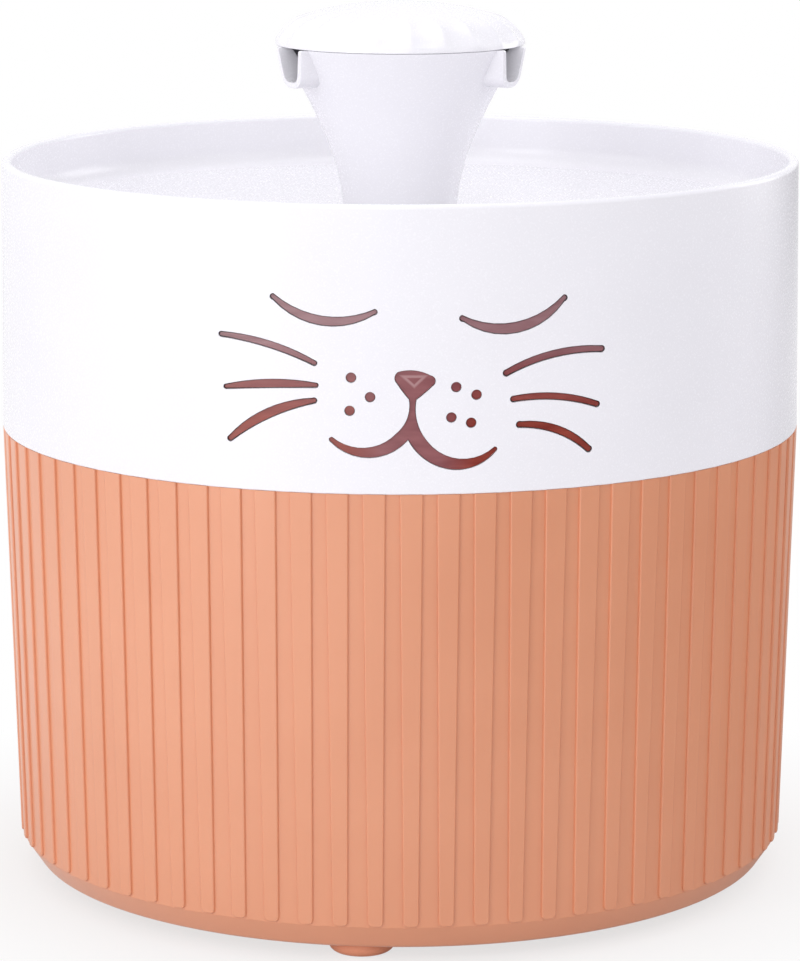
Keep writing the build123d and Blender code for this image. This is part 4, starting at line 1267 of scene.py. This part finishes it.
def mirrored_light(tree, place, dark, reach):
    """What gloss mirrors at a place: white to the left and behind, dark to the right,
    and in between over the stretch around the middle, as a share of the reach."""
    axes = add(tree, "SeparateXYZ", {"Vector": place})
    behind = between(tree, axes.outputs["Y"], 0, -0.75 * reach, 0, reach)
    side = combined(tree, "ADD", axes.outputs["X"], behind)
    return between(tree, side, 1.0, dark, -0.4 * reach, 0.3 * reach)


def white_light(tree, kind, strength):
    """White light of a strength, from a surface or from the world."""
    return add(tree, kind, {"Color": colour("#FFFFFF"), "Strength": strength}).outputs[0]


def either(tree, share, first, second):
    """The first shader where share is 0, the second where it is 1."""
    return add(tree, "MixShader", {"Fac": share, 1: first, 2: second}).outputs["Shader"]


def paper_floor():
    """White paper that seems lit from behind, all the more so away from the fountain."""
    bm = bmesh.new()
    bmesh.ops.create_circle(bm, cap_ends=True, segments=96, radius=stage_r)
    mesh = bpy.data.meshes.new("floor")
    bm.to_mesh(mesh)
    bm.free()
    floor = bpy.data.objects.new("floor", mesh)
    bpy.context.scene.collection.objects.link(floor)
    material, tree, place = start("white_paper_floor")
    mesh.materials.append(material)
    ray = add(tree, "LightPath")
    away = add(tree, "VectorMath", {0: place}, operation="LENGTH").outputs["Value"]
    share = between(tree, away, lit_share, 1.0, lit_near, lit_far)
    paper = add(tree, "BsdfDiffuse", {"Color": colour("#E2E2E2")}).outputs["BSDF"]
    seen = either(tree, share, paper, white_light(tree, "Emission", 1.0))
    gloss = white_light(tree, "Emission", mirrored_light(tree, place, dark=0.1, reach=0.65))
    unseen = either(tree, ray.outputs["Is Glossy Ray"], paper, gloss)
    close(tree, either(tree, ray.outputs["Is Camera Ray"], unseen, seen))


def surround():
    """Even, slightly cool light from all around, with white behind the fountain."""
    world = bpy.data.worlds.new("studio")
    bpy.context.scene.world = world
    world.use_nodes = True
    tree = world.node_tree
    tree.nodes.clear()
    ray = add(tree, "LightPath")
    camera_ray = ray.outputs["Is Camera Ray"]
    all_round = add(tree, "TexCoord").outputs["Generated"]
    bright_side = mirrored_light(tree, all_round, dark=0.15, reach=1.0)
    white = white_light(tree, "Background", combined(tree, "MAXIMUM", camera_ray, bright_side))
    even = add(tree, "Background", {"Color": colour("#F6F5FA"), "Strength": surround_level})
    shown = combined(tree, "MAXIMUM", camera_ray, ray.outputs["Is Glossy Ray"])
    shader = either(tree, shown, even.outputs["Background"], white)
    add(tree, "OutputWorld", {"Surface": shader})


def camera():
    """Looks at the face from a little above."""
    lens_data = bpy.data.cameras.new("camera")
    lens_data.lens = camera_lens
    lens_data.sensor_width = camera_sensor
    lens_data.clip_start, lens_data.clip_end = 0.05, 20
    made = bpy.data.objects.new("camera", lens_data)
    made.location = camera_place
    made.rotation_euler = (radians(90 - camera_down), 0, radians(-camera_right))
    bpy.context.scene.collection.objects.link(made)
    bpy.context.scene.camera = made


dress(make_materials())
paper_floor()
surround()
for box in softboxes:
    softbox(*box)
camera()
bpy.context.scene.view_settings.view_transform = "Standard"
